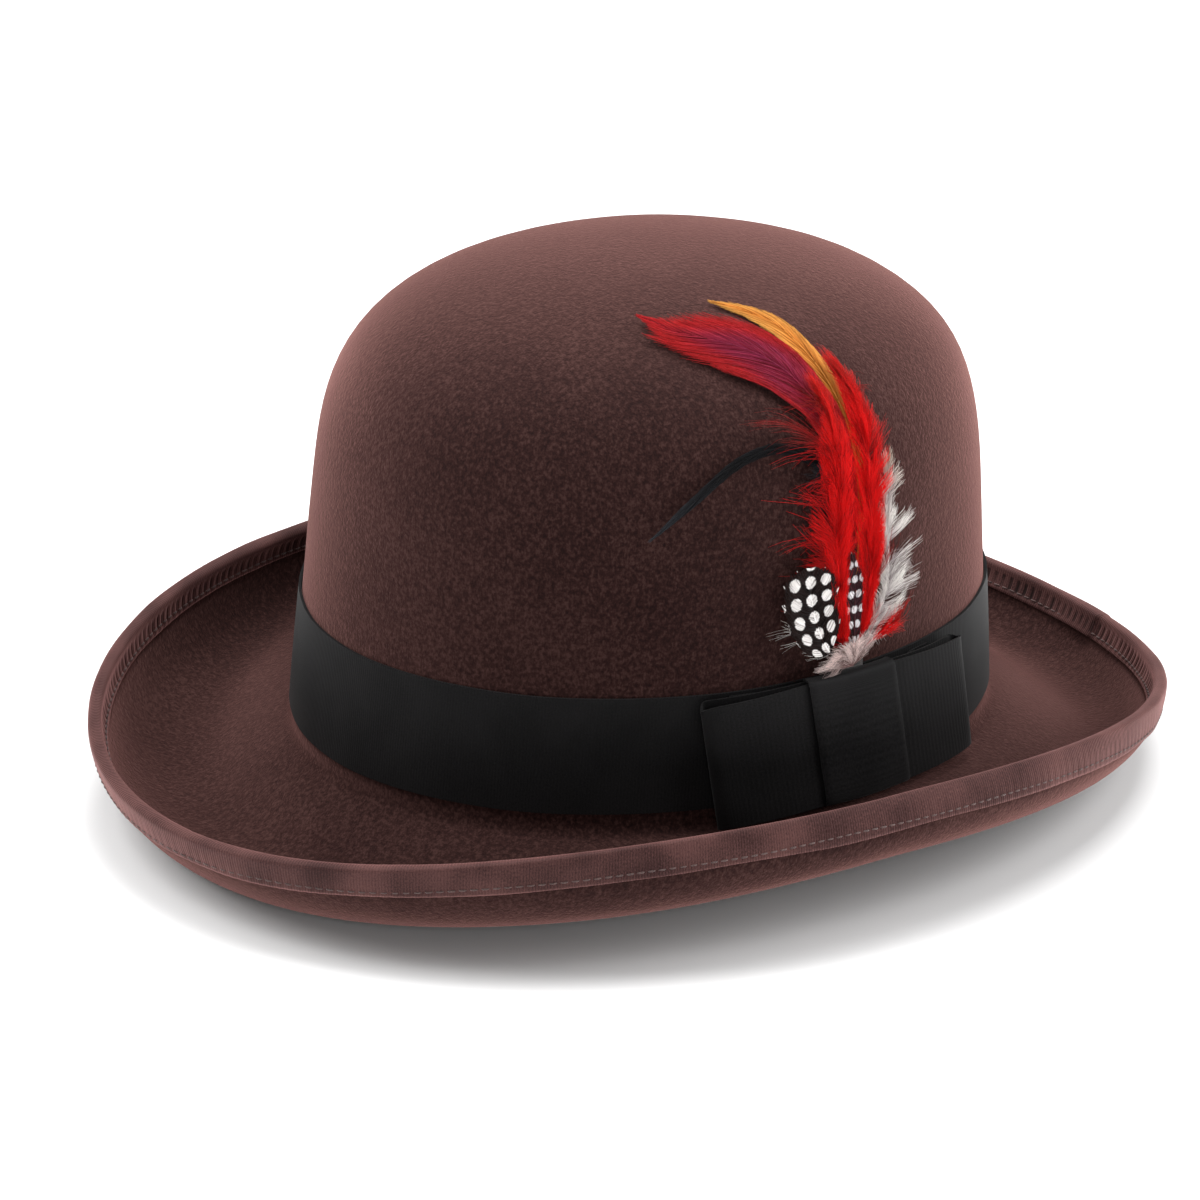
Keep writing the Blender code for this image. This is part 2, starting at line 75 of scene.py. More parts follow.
class Wire:
    """A number socket in a material, used in Python expressions."""

    def __init__(self, graph: "Graph", socket: bpy.types.NodeSocket) -> None:
        """Wrap a socket of a material's graph."""
        self.graph = graph
        self.socket = socket

    def maths(self, operation: str, *others: Union["Wire", float], first: bool = True) -> "Wire":
        """Add a Math node.

        Args:
            operation: The Math node's operation.
            others: The values after this one, or before it.
            first: Whether this value comes first.

        Returns:
            The node's result.
        """
        values = [self, *others] if first else [*others, self]
        node = self.graph.add("ShaderNodeMath", {"operation": operation}, dict(enumerate(values)))
        return Wire(self.graph, node.outputs[0])

    def __add__(self, other: Union["Wire", float]) -> "Wire":
        """Sum."""
        return self.maths("ADD", other)

    __radd__ = __add__

    def __mul__(self, other: Union["Wire", float]) -> "Wire":
        """Product."""
        return self.maths("MULTIPLY", other)

    __rmul__ = __mul__

    def __sub__(self, other: Union["Wire", float]) -> "Wire":
        """Difference."""
        return self.maths("SUBTRACT", other)

    def __rsub__(self, other: float) -> "Wire":
        """Difference from a plain number."""
        return self.maths("SUBTRACT", other, first=False)

    def __truediv__(self, other: Union["Wire", float]) -> "Wire":
        """Quotient."""
        return self.maths("DIVIDE", other)

    def __abs__(self) -> "Wire":
        """Size without the sign."""
        return self.maths("ABSOLUTE")

    def sine(self) -> "Wire":
        """Sine of radians."""
        return self.maths("SINE")

    def cosine(self) -> "Wire":
        """Cosine of radians."""
        return self.maths("COSINE")

    def fraction(self) -> "Wire":
        """Part after the point."""
        return self.maths("FRACT")

    def floor(self) -> "Wire":
        """Whole part."""
        return self.maths("FLOOR")

    def root(self) -> "Wire":
        """Square root."""
        return self.maths("SQRT")

    def fade(self, low: float, high: float) -> "Wire":
        """Smooth step from 0 at low to 1 at high, which may be the lower of the two.

        Args:
            low: Value at which the step is 0.
            high: Value at which it is 1.

        Returns:
            The step.
        """
        settings = {"interpolation_type": "SMOOTHSTEP"}
        ends = (low, high, 0.0, 1.0) if low < high else (high, low, 1.0, 0.0)
        sockets = dict(zip((0, 1, 2, 3, 4), (self, *ends)))
        return Wire(self.graph, self.graph.add("ShaderNodeMapRange", settings, sockets).outputs[0])


Value = Union[Wire, bpy.types.NodeSocket, float, tuple[float, ...]]


class Graph:
    """Node graph of one material, round a Principled shader."""

    def __init__(self, name: str) -> None:
        """Start a material.

        Args:
            name: The material's name.
        """
        self.material = bpy.data.materials.new(name)
        self.material.use_nodes = True
        self.tree = self.material.node_tree
        self.shader = self.tree.nodes["Principled BSDF"]

    def add(self, kind: str, settings: dict, sockets: dict) -> bpy.types.Node:
        """Add any node.

        Args:
            kind: The node's type.
            settings: Its properties, set first.
            sockets: Values or links by socket name or number.

        Returns:
            The node.
        """
        node = self.tree.nodes.new(kind)
        for key, value in settings.items():
            setattr(node, key, value)
        for key, value in sockets.items():
            self.feed(node.inputs[key], value)
        return node

    def feed(self, socket: bpy.types.NodeSocket, value: Value) -> None:
        """Link a socket, or set its constant.

        Args:
            socket: The socket to fill.
            value: A link's source, a colour or a number.
        """
        if isinstance(value, Wire):
            self.tree.links.new(value.socket, socket)
        elif isinstance(value, bpy.types.NodeSocket):
            self.tree.links.new(value, socket)
        elif isinstance(value, tuple) and socket.type == "RGBA" and len(value) == 3:
            socket.default_value = (*value, 1.0)
        else:
            socket.default_value = value

    def coordinates(self, output: str, scale: Axes = (1.0, 1.0, 1.0)) -> bpy.types.NodeSocket:
        """Object or UV coordinates, stretched.

        Args:
            output: "Object" in metres, or "UV" in millimetres along the piece.
            scale: Stretch along each axis.

        Returns:
            A vector socket.
        """
        source = self.add("ShaderNodeTexCoord", {}, {}).outputs[output]
        return self.add("ShaderNodeMapping", {}, {"Vector": source, "Scale": scale}).outputs[0]

    def split(self, vector: bpy.types.NodeSocket) -> list[Wire]:
        """The three numbers of a vector."""
        node = self.add("ShaderNodeSeparateXYZ", {}, {0: vector})
        return [Wire(self, output) for output in node.outputs]

    def noise(self, vector: bpy.types.NodeSocket, scale: float, detail: float = 2.0,
              rough: float = 0.5) -> Wire:
        """Noise from 0 to 1."""
        sockets = {"Vector": vector, "Scale": scale, "Detail": detail, "Roughness": rough}
        return Wire(self, self.add("ShaderNodeTexNoise", {}, sockets).outputs[0])

    def attribute(self, name: str) -> Wire:
        """A number stored on the mesh."""
        node = self.add("ShaderNodeAttribute", {"attribute_name": name}, {})
        return Wire(self, node.outputs["Fac"])

    def mix(self, share: Value, first: Value, second: Value) -> bpy.types.NodeSocket:
        """Blend of two colours."""
        node = self.add("ShaderNodeMix", {"data_type": "RGBA"}, {0: share, 6: first, 7: second})
        return node.outputs[2]

    def bump(self, height: Wire, distance: float, strength: float = 1.0) -> bpy.types.NodeSocket:
        """Normal from a height in millimetres times distance."""
        sockets = {"Height": height, "Distance": distance * MM, "Strength": strength}
        return self.add("ShaderNodeBump", {}, sockets).outputs[0]

    def dress(self, **sockets: Value) -> bpy.types.Material:
        """Feed the shader; underscores in names stand for spaces.

        Args:
            sockets: Links or constants, by the shader's socket.

        Returns:
            The finished material.
        """
        for name, value in sockets.items():
            self.feed(self.shader.inputs[name.replace("_", " ")], value)
        return self.material


# ---------------------------------------------------------------- finishes

@dataclass(frozen=True)
class FeltFinish:
    """Fur felt: mottled, with a short nap."""

    name: str = "brown_fur_felt"
    deep: Colour = (0.007, 0.0026, 0.0026)
    body: Colour = (0.018, 0.0068, 0.0060)
    light: Colour = (0.044, 0.0205, 0.0180)

    def make(self) -> bpy.types.Material:
        """Build the material.

        Returns:
            The material.
        """
        graph = Graph(self.name)
        spot = graph.coordinates("Object")
        grain = graph.noise(spot, 760.0, 3.0, 0.62)
        nap = graph.noise(graph.coordinates("Object", (1.0, 1.0, 0.6)), 1800.0, 2.0, 0.6)
        cloud = graph.noise(spot, 28.0, 2.0, 0.5)
        tone = grain * 0.55 + nap * 0.3 + cloud * 0.15
        base = graph.mix(tone.fade(0.36, 0.52), self.deep, self.body)
        base = graph.mix(tone.fade(0.47, 0.64), base, self.light)
        height = grain * 0.7 + nap * 0.4
        return graph.dress(Base_Color=base, Roughness=0.95, Normal=graph.bump(height, 0.34),
                           Sheen_Weight=0.72, Sheen_Roughness=0.45, Sheen_Tint=(0.62, 0.30, 0.27, 1.0),
                           Specular_IOR_Level=0.08)


@dataclass(frozen=True)
class RibbonFinish:
    """Grosgrain ribbon: fine ribs across its width. UV is millimetres along and across it.

    Where stitches pull the ribbon in, stitch_pitch is their pitch along it, stitched gives the
    two places across it between which it is hollowed, and shadow is the colour of the painted
    shade laid down there.
    """

    name: str
    dark: Colour
    light: Colour
    pitch: float
    roughness: float = 0.62
    sheen: float = 0.3
    sheen_tint: Colour = (1.0, 1.0, 1.0)
    gloss: float = 0.2
    rib_height: float = 0.1
    # Share of painted shade laid in the grooves between the ribs.
    groove_shade: float = 0.08
    wear: float = 0.3
    stitch_pitch: float = 0.0
    stitched: tuple[float, float] = (14.3, 18.9)
    shadow: Colour = (0.003, 0.0015, 0.0015)

    def make(self) -> bpy.types.Material:
        """Build the material.

        Returns:
            The material.
        """
        graph = Graph(self.name)
        along, across, _ = graph.split(graph.coordinates("UV"))
        spot = graph.coordinates("Object")
        waver = graph.noise(spot, 120.0, 1.0)
        rib = (along * (math.tau / self.pitch) + waver * 3.0).sine()
        weft = graph.noise(graph.coordinates("UV", (3.2, 1.8, 1.0)), 1.0, 3.0, 0.7)
        cloud = graph.noise(spot, 60.0, 2.0)
        # Painted shade: rib times groove_shade darkens the grooves between the ribs.
        tone = rib * self.groove_shade + weft * 0.9 + cloud * self.wear - 0.5 * self.wear
        base = graph.mix(tone.fade(0.2, 0.72), self.dark, self.light)
        if self.stitch_pitch:
            low, high = self.stitched
            # Painted shadow: darkens the recesses that the stitches pull into the ribbon.
            stitch_shade = (along * (math.tau / self.stitch_pitch)).cosine().fade(-0.3, 0.7)
            stitch_shade = stitch_shade * across.fade(low, low + 0.7) * across.fade(high, high - 0.7)
            stitch_shade = stitch_shade * (graph.noise(spot, 190.0, 2.0).fade(0.30, 0.62) * 0.75 + 0.25)
            base = graph.mix(stitch_shade * 0.85, base, self.shadow)
        height = rib * 0.5 + weft * 0.6
        return graph.dress(Base_Color=base, Roughness=weft * 0.2 + (self.roughness - 0.1),
                           Normal=graph.bump(height, self.rib_height), Sheen_Weight=self.sheen,
                           Sheen_Roughness=0.4, Sheen_Tint=(*self.sheen_tint, 1.0),
                           Specular_IOR_Level=self.gloss)


@dataclass(frozen=True)
class ThreadFinish:
    """Twisted thread."""

    name: str
    dark: Colour
    light: Colour

    def make(self) -> bpy.types.Material:
        """Build the material.

        Returns:
            The material.
        """
        graph = Graph(self.name)
        ply = graph.noise(graph.coordinates("Object", (1.0, 1.0, 2.5)), 2600.0, 1.0)
        base = graph.mix(ply.fade(0.35, 0.65), self.dark, self.light)
        return graph.dress(Base_Color=base, Roughness=0.7, Normal=graph.bump(ply, 0.06),
                           Sheen_Weight=0.2)


@dataclass(frozen=True)
class LeatherFinish:
    """Thin roan leather, pressed smooth, with pores and an embossed line near each edge.

    The lines lie at line_offset to either side of the middle, in millimetres across the strip.
    """

    name: str = "tan_roan_leather"
    dark: Colour = (0.120, 0.052, 0.024)
    light: Colour = (0.270, 0.135, 0.062)
    middle: float = 21.7
    line_offset: float = 17.5

    def make(self) -> bpy.types.Material:
        """Build the material.

        Returns:
            The material.
        """
        graph = Graph(self.name)
        spot = graph.coordinates("Object")
        _, across, _ = graph.split(graph.coordinates("UV"))
        cell = {"Vector": spot, "Scale": 900.0}
        pores = Wire(graph, graph.add("ShaderNodeTexVoronoi", {}, cell).outputs["Distance"])
        cloud = graph.noise(spot, 45.0, 3.0)
        crease = graph.noise(graph.coordinates("Object", (1.0, 1.0, 0.3)), 260.0, 3.0, 0.6)
        tone = cloud * 0.6 + crease * 0.3 + pores * 0.2
        base = graph.mix(tone.fade(0.35, 0.75), self.dark, self.light)
        line = abs(abs(across - self.middle) - self.line_offset).fade(0.5, 0.15)
        height = pores * 0.5 + crease * 0.5 - line * 1.5
        return graph.dress(Base_Color=base, Roughness=cloud * 0.2 + 0.38,
                           Normal=graph.bump(height, 0.12), Specular_IOR_Level=0.5)


@dataclass(frozen=True)
class SatinFinish:
    """Satin lining: long floats that run up the side, and soft creases."""

    name: str = "bronze_satin"
    dark: Colour = (0.180, 0.112, 0.062)
    light: Colour = (0.380, 0.262, 0.160)

    def make(self) -> bpy.types.Material:
        """Build the material.

        Returns:
            The material.
        """
        graph = Graph(self.name)
        floats = graph.noise(graph.coordinates("UV", (6.0, 0.5, 1.0)), 1.0, 2.0)
        cloud = graph.noise(graph.coordinates("Object"), 35.0, 2.0)
        base = graph.mix((floats * 0.4 + cloud * 0.6).fade(0.3, 0.7), self.dark, self.light)
        return graph.dress(Base_Color=base, Roughness=floats * 0.15 + 0.26,
                           Normal=graph.bump(floats, 0.03), Sheen_Weight=0.3,
                           Specular_IOR_Level=0.6)


class Marking(Enum):
    """How a feather's colour is laid on."""

    PLAIN = "plain"
    CENTRE = "darker along the middle"
    SPOTTED = "round spots in rows"
    TIPPED = "duller towards the tip"


@dataclass(frozen=True)
class FeatherFinish:
    """Barbs of one feather. UV is millimetres across and along the feather.

    Each barb's own shade, its reach from root to tip and its place along the feather are stored
    on the mesh as shade, reach and station.
    """

    name: str
    root: Colour
    tip: Colour
    mark: Colour = (0.0, 0.0, 0.0)
    marking: Marking = Marking.PLAIN
    pitch: tuple[float, float] = (4.7, 5.2)
    spot: float = 1.55
    stagger: float = 0.0
    sheen: float = 0.05

    def spots(self, graph: Graph) -> Wire:
        """Mask of round spots in rows.

        Args:
            graph: The material's graph.

        Returns:
            1 on a spot and 0 off it.
        """
        across, along, _ = graph.split(graph.coordinates("UV"))
        wide, high = self.pitch
        start = 100.0  # whole pitches, so that no row or column is negative
        row = along / high + start
        shift = (row.floor() * 0.5).fraction() * (2.0 * self.stagger)
        column = across / wide + shift + (start + 0.5)
        far_x = (column.fraction() - 0.5) * wide
        far_y = (row.fraction() - 0.5) * (high * 0.85)
        ragged = graph.attribute("shade") * 0.25
        away = (far_x * far_x + far_y * far_y).root() + ragged
        return away.fade(self.spot + 0.25, self.spot + 0.05)

    def make(self) -> bpy.types.Material:
        """Build the material.

        Returns:
            The material.
        """
        graph = Graph(self.name)
        shade = graph.attribute("shade")
        reach = graph.attribute("reach")
        base = graph.mix((reach * 0.8 + shade * 0.5 - 0.15).fade(0.0, 1.0), self.root, self.tip)
        if self.marking is Marking.CENTRE:
            station = graph.attribute("station")
            blush = abs(station - 0.72).fade(0.24, 0.04) * reach.fade(0.9, 0.35)
            base = graph.mix(blush * (shade * 0.6 + 0.3), base, self.mark)
        elif self.marking is Marking.SPOTTED:
            base = graph.mix(self.spots(graph), base, self.mark)
        # On the black hackle the lighter grey towards the tip is a painted highlight; on the other
        # feathers the mark is their own duller tip colour.
        elif self.marking is Marking.TIPPED:
            far = graph.attribute("station").fade(0.72, 1.0)
            base = graph.mix(far * (shade * -0.6 + 0.9), base, self.mark)
        # Darkens barbs whose shade value is low. It is random tone, and in the plumes, where a clump
        # shares it, it also stands in for painted shade between the clumps.
        tone_and_shade = graph.mix(shade.fade(0.0, 0.45), (0.45, 0.42, 0.42), (1.0, 1.0, 1.0))
        settings = {"data_type": "RGBA", "blend_type": "MULTIPLY"}
        base = graph.add("ShaderNodeMix", settings, {0: 1.0, 6: base, 7: tone_and_shade}).outputs[2]
        return graph.dress(Base_Color=base, Roughness=0.65, Sheen_Weight=self.sheen,
                           Sheen_Roughness=0.35, Specular_IOR_Level=0.08)


BROWN_GROSGRAIN = RibbonFinish("brown_grosgrain", (0.020, 0.007, 0.007), (0.105, 0.046, 0.042),
                               pitch=0.85, sheen=0.75, sheen_tint=(0.62, 0.31, 0.29), gloss=0.1,
                               rib_height=0.06, groove_shade=0.04, wear=0.6,
                               stitch_pitch=BINDING_LENGTH / BINDING_STITCHES)
BLACK_GROSGRAIN = RibbonFinish("black_grosgrain", (0.0008, 0.0008, 0.0009), (0.0110, 0.0102, 0.0108),
                               pitch=0.9, sheen=0.06, gloss=0.12, rib_height=0.03, groove_shade=0.02)
BROWN_THREAD = ThreadFinish("brown_thread", (0.030, 0.013, 0.012), (0.110, 0.058, 0.050))
TAN_THREAD = ThreadFinish("tan_thread", (0.120, 0.070, 0.035), (0.300, 0.180, 0.100))
QUILL_THREAD = ThreadFinish("black_binding_thread", (0.010, 0.009, 0.009), (0.060, 0.052, 0.050))


# ---------------------------------------------------------------- shape of the hat

@dataclass(frozen=True)
class BrimShape:
    """Brim's section at one side: slopes in degrees at its start and finish, then millimetres."""

    start: float
    finish: float
    radius: float
    width: float


@dataclass(frozen=True)
class HatBlock:
    """The block that the hat was made on. Turns are degrees round it from the wearer's left."""

    half_width: float = 88.3
    half_length: float = 104.8
    height: float = 135.0
    dome_start: float = 53.0
    dome_fullness: float = 4.7
    width_taper: float = 0.053
    length_taper: float = 0.117
    side: BrimShape = BrimShape(-2.7, 130.6, 10.4, 51.2)
    front: BrimShape = BrimShape(-37.5, 78.6, 25.7, 73.0)
    back: BrimShape = BrimShape(-31.0, 77.0, 18.2, 64.0)
    brim_blend: float = 1.64
    end_dip: float = 1.1
    fillet: float = 4.0
    felt: float = 2.5

    def run(self, shape: BrimShape) -> float:
        """Length of a section's straight run, before its curl."""
        return shape.width - shape.radius * math.radians(shape.finish - shape.start)

    def drop(self, shape: BrimShape) -> float:
        """How far a section's top face goes below the break."""
        start = math.radians(shape.start)
        return -self.run(shape) * math.sin(start) + shape.radius * (1.0 - math.cos(start))

    def reach(self, shape: BrimShape) -> float:
        """How far a section's edge stands out from the crown."""
        start, finish = math.radians(shape.start), math.radians(shape.finish)
        return self.run(shape) * math.cos(start) + shape.radius * (math.sin(finish) - math.sin(start))

    @property
    def stand(self) -> float:
        """Height of the break at the sides when the hat stands on its brim."""
        return max(self.drop(self.front), self.drop(self.back)) + self.end_dip + self.felt

    @property
    def shift(self) -> float:
        """How far the crown's middle is behind the outline's."""
        return 0.5 * (self.reach(self.front) - self.reach(self.back))

    def end_share(self, turn: Points) -> Points:
        """0 at the sides, 1 at the front and the back."""
        return np.abs(np.sin(np.radians(turn))) ** self.brim_blend

    def stood_up(self, x: Points, y: Points, z: Points) -> Points:
        """Points in metres in the hat's frame."""
        return np.stack(np.broadcast_arrays(x, y + self.shift, z + self.stand), -1) * MM

    def section(self, turn: Points) -> tuple[Points, Points, Points, Points]:
        """Start and finish slopes in radians, radius and width of the brim's section.

        Args:
            turn: Degrees round the crown.

        Returns:
            The four numbers at each turn.
        """
        share = self.end_share(turn)
        ahead = np.sin(np.radians(turn)) < 0.0
        values = []
        for name in ("start", "finish", "radius", "width"):
            end = np.where(ahead, getattr(self.front, name), getattr(self.back, name))
            values.append(getattr(self.side, name) * (1.0 - share) + end * share)
        return np.radians(values[0]), np.radians(values[1]), values[2], values[3]

    def place(self, turn: Points, reach: Points, rise: Points) -> Points:
        """Point at a reach out from the crown's foot and a rise above its break.

        Args:
            turn: Degrees round the crown.
            reach: Millimetres out from the crown's foot.
            rise: Millimetres above the break.

        Returns:
            The points, in metres.
        """
        angle = np.radians(turn)
        out_x, out_y = np.cos(angle) / self.half_width, np.sin(angle) / self.half_length
        size = np.hypot(out_x, out_y)
        x = self.half_width * np.cos(angle) + out_x / size * reach
        y = self.half_length * np.sin(angle) + out_y / size * reach
        return self.stood_up(x, y, rise - self.end_dip * self.end_share(turn))

    def crown(self, turn: Points, height: Points) -> Points:
        """Point on the outer face of the crown.

        Args:
            turn: Degrees round the crown.
            height: Millimetres above the crown's foot.

        Returns:
            The points, in metres.
        """
        angle = np.radians(turn)
        share = height / self.height
        rise = np.clip((height - self.dome_start) / (self.height - self.dome_start), 0.0, 1.0)
        dome = np.sqrt(1.0 - rise ** self.dome_fullness)
        x = self.half_width * np.cos(angle) * (1.0 - self.width_taper * share) * dome
        y = self.half_length * np.sin(angle) * (1.0 - self.length_taper * share) * dome
        dip = -self.end_dip * self.end_share(turn) * (1.0 - share)
        return self.stood_up(x, y, dip + height)

    def slopes(self, turn: Points, height: Points) -> tuple[Points, Points]:
        """Change of crown for a degree of turn and for a millimetre of height.

        Args:
            turn: Degrees round the crown.
            height: Millimetres above the crown's foot.

        Returns:
            The two changes, in metres.
        """
        step = 0.05
        across = (self.crown(turn + step, height) - self.crown(turn - step, height)) / (2 * step)
        upward = (self.crown(turn, height + step) - self.crown(turn, height - step)) / (2 * step)
        return across, upward

    def outward(self, turn: Points, height: Points) -> Points:
        """Direction straight out of the crown."""
        normal = np.cross(*self.slopes(turn, height))
        return normal / np.linalg.norm(normal, axis=-1, keepdims=True)

    def on_crown(self, turn: Points, height: Points, standoff: Points) -> Points:
        """Point at a standoff from the outer face of the crown, inwards where it is negative."""
        offset = np.asarray(standoff * np.ones_like(turn))[..., None] * MM
        return self.crown(turn, height) + self.outward(turn, height) * offset

    def on_brim(self, turn: Points, travel: Points, lift: Points) -> Points:
        """Point at a travel along the brim from the break, and a lift off its top face.

        Args:
            turn: Degrees round the crown.
            travel: Millimetres along the brim from the break.
            lift: Millimetres off its top face.

        Returns:
            The points, in metres.
        """
        start, finish, radius, width = self.section(turn)
        run = width - radius * (finish - start)
        slope = np.minimum(finish, start + np.maximum(0.0, travel - run) / radius)
        beyond = np.maximum(0.0, travel - width)
        flat = np.minimum(travel, run)
        reach = flat * np.cos(start) + radius * (np.sin(slope) - np.sin(start))
        rise = flat * np.sin(start) + radius * (np.cos(start) - np.cos(slope))
        reach = reach + beyond * np.cos(finish) - lift * np.sin(slope)
        rise = rise + beyond * np.sin(finish) + lift * np.cos(slope)
        return self.place(turn, reach, rise)

    def tangent(self, turn: Points) -> Points:
        """Distance from the break to either end of the fillet."""
        start = self.section(turn)[0]
        return self.fillet * np.tan(0.5 * (0.5 * math.pi + start))

    def on_fillet(self, turn: Points, share: Points) -> Points:
        """Point on the fillet between the crown and the brim, from the wall (0) to the brim (1).

        Args:
            turn: Degrees round the crown.
            share: Place on the fillet, from the wall to the brim.

        Returns:
            The points, in metres.
        """
        start = self.section(turn)[0]
        slope = -0.5 * math.pi + share * (start + 0.5 * math.pi)
        rise = self.tangent(turn) - self.fillet * np.cos(slope)
        return self.place(turn, self.fillet * (1.0 + np.sin(slope)), rise)


BLOCK = HatBlock()


# ---------------------------------------------------------------- modelling steps

class Bench:
    """Modelling steps that every sub-assembly uses."""

    @staticmethod
    def clear() -> None:
        """Deselect everything, in object mode."""
        if bpy.context.object is not None and bpy.context.object.mode != "OBJECT":
            bpy.ops.object.mode_set(mode="OBJECT")
        bpy.ops.object.select_all(action="DESELECT")

    @staticmethod
    def pick(piece: bpy.types.Object) -> None:
        """Select one piece alone and make it active.

        Args:
            piece: The piece to work on.
        """
        Bench.clear()
        piece.select_set(True)
        bpy.context.view_layer.objects.active = piece

    @staticmethod
    def points(piece: bpy.types.Object) -> Points:
        """The piece's points, as rows.

        Args:
            piece: The piece.

        Returns:
            The points, in metres.
        """
        flat = np.zeros(len(piece.data.vertices) * 3)
        piece.data.vertices.foreach_get("co", flat)
        return flat.reshape(-1, 3)

    @staticmethod
    def move_points(piece: bpy.types.Object, points: Points) -> None:
        """Put the piece's points somewhere else."""
        piece.data.vertices.foreach_set("co", np.ascontiguousarray(points, float).ravel())
        piece.data.update()

    @staticmethod
    def sheet(name: str, columns: int, rows: int, shape: Shape, size: tuple[float, float],
              closed: bool = False, turned: bool = False) -> bpy.types.Object:
        """Sheet shaped from a flat grid.

        Args:
            name: The piece's name.
            columns: Cells along the sheet.
            rows: Cells across it.
            shape: Gives the points for shares along and across, from 0 to 1.
            size: The sheet's own millimetres along and across, for its UV.
            closed: Whether the sheet's ends or an edge meet, to be welded.
            turned: Whether the UV goes across first, as on a ribbon that runs that way.

        Returns:
            The piece.
        """
        Bench.clear()
        bpy.ops.mesh.primitive_grid_add(x_subdivisions=columns, y_subdivisions=rows, size=1.0)
        piece = bpy.context.object
        piece.name = piece.data.name = name
        flat = Bench.points(piece)
        along, across = flat[:, 0] + 0.5, flat[:, 1] + 0.5
        mesh = piece.data
        corner = np.zeros(len(mesh.loops), int)
        mesh.loops.foreach_get("vertex_index", corner)
        uv = np.stack([along, across], -1) * size
        if turned:
            uv = uv[:, ::-1]
        mesh.uv_layers[0].data.foreach_set("uv", uv[corner].ravel())
        Bench.move_points(piece, shape(along, across))
        if closed:
            Bench.weld(piece)
        mesh.shade_smooth()
        return piece

    @staticmethod
    def weld(piece: bpy.types.Object, distance: float = 0.004) -> None:
        """Merge points that meet, within a distance in millimetres.

        Args:
            piece: The piece.
            distance: How near two points are that meet.
        """
        Bench.pick(piece)
        bpy.ops.object.mode_set(mode="EDIT")
        bpy.ops.mesh.select_all(action="SELECT")
        bpy.ops.mesh.remove_doubles(threshold=distance * MM)
        bpy.ops.object.mode_set(mode="OBJECT")

    @staticmethod
    def apply(piece: bpy.types.Object, kind: str, **settings: Union[str, float, bool]) -> None:
        """Add a modifier and apply it.

        Args:
            piece: The piece.
            kind: The modifier's type.
            settings: Its properties.
        """
        Bench.pick(piece)
        modifier = piece.modifiers.new(kind.lower(), kind)
        for key, value in settings.items():
            setattr(modifier, key, value)
        bpy.ops.object.modifier_apply(modifier=modifier.name)

    @staticmethod
    def wall(piece: bpy.types.Object, thickness: float, side: float) -> None:
        """Give a sheet its thickness: side 1 grows along its normals and -1 against them."""
        Bench.apply(piece, "SOLIDIFY", thickness=thickness * MM, offset=side, use_even_offset=True)
        piece.data.shade_smooth()

    @staticmethod
    def sharpen(piece: bpy.types.Object, angle: float = 50.0) -> None:
        """Smooth shading, except over sharp edges."""
        Bench.pick(piece)
        bpy.ops.object.shade_smooth_by_angle(angle=math.radians(angle))

    @staticmethod
    def strand(name: str, sides: int, spans: int) -> bpy.types.Object:
        """Straight rod of unit radius and length, to be copied: its foot is at z = 0.

        Args:
            name: The rod's name.
            sides: Sides round it.
            spans: Lengths that it is made of.

        Returns:
            The rod.
        """
        Bench.clear()
        bpy.ops.mesh.primitive_cylinder_add(vertices=sides, radius=1.0, depth=1.0 / spans,
                                            location=(0.0, 0.0, 0.5 / spans))
        rod = bpy.context.object
        rod.name = rod.data.name = name
        bpy.ops.object.transform_apply(location=True, rotation=False, scale=False)
        for span in range(1, spans):
            top = span / spans
            mesh = rod.data
            for face in mesh.polygons:
                face.select = face.normal.z > 0.9 and face.center.z > top - 0.1 / spans
            for edge in mesh.edges:
                edge.select = False
            for vert in mesh.vertices:
                vert.select = vert.co.z > top - 0.1 / spans
            bpy.ops.object.mode_set(mode="EDIT")
            bpy.ops.mesh.select_mode(type="FACE")
            bpy.ops.mesh.extrude_region_move(
                TRANSFORM_OT_translate={"value": (0.0, 0.0, 1.0 / spans)})
            bpy.ops.object.mode_set(mode="OBJECT")
        return rod

    @staticmethod
    def copies(name: str, pattern: bpy.types.Object, points: Points,
               uv: Optional[Points] = None, **numbers: Points) -> bpy.types.Object:
        """One piece made of many copies of a pattern, each with its own points.

        Args:
            name: The piece's name.
            pattern: The modelled shape; it stays as it is.
            points: Points of each copy, as copies x points x 3, in metres.
            uv: UV of each point, as copies x points x 2.
            numbers: Numbers to store on the mesh, as copies x points.

        Returns:
            The piece.
        """
        count, size = points.shape[:2]
        faces = [list(face.vertices) for face in pattern.data.polygons]
        lengths = np.tile([len(face) for face in faces], count)
        corners = np.concatenate([np.array(face) for face in faces])
        corners = (corners[None] + np.arange(count)[:, None] * size).ravel()
        starts = np.concatenate([[0], np.cumsum(lengths)[:-1]])
        mesh = bpy.data.meshes.new(name)
        mesh.vertices.add(count * size)
        mesh.vertices.foreach_set("co", points.ravel())
        mesh.loops.add(len(corners))
        mesh.loops.foreach_set("vertex_index", corners)
        mesh.polygons.add(len(lengths))
        mesh.polygons.foreach_set("loop_start", starts)
        if uv is not None:
            layer = mesh.uv_layers.new(name="UVMap")
            layer.data.foreach_set("uv", uv.reshape(-1, 2)[corners].ravel())
        for key, values in numbers.items():
            store = mesh.attributes.new(key, "FLOAT", "POINT")
            store.data.foreach_set("value", np.ascontiguousarray(values, np.float32).ravel())
        mesh.update(calc_edges=True)
        mesh.validate()
        mesh.shade_smooth()
        piece = bpy.data.objects.new(name, mesh)
        bpy.context.scene.collection.objects.link(piece)
        return piece

    @staticmethod
    def discard(piece: bpy.types.Object) -> None:
        """Remove a pattern once it has been copied."""
        bpy.data.objects.remove(piece, do_unlink=True)

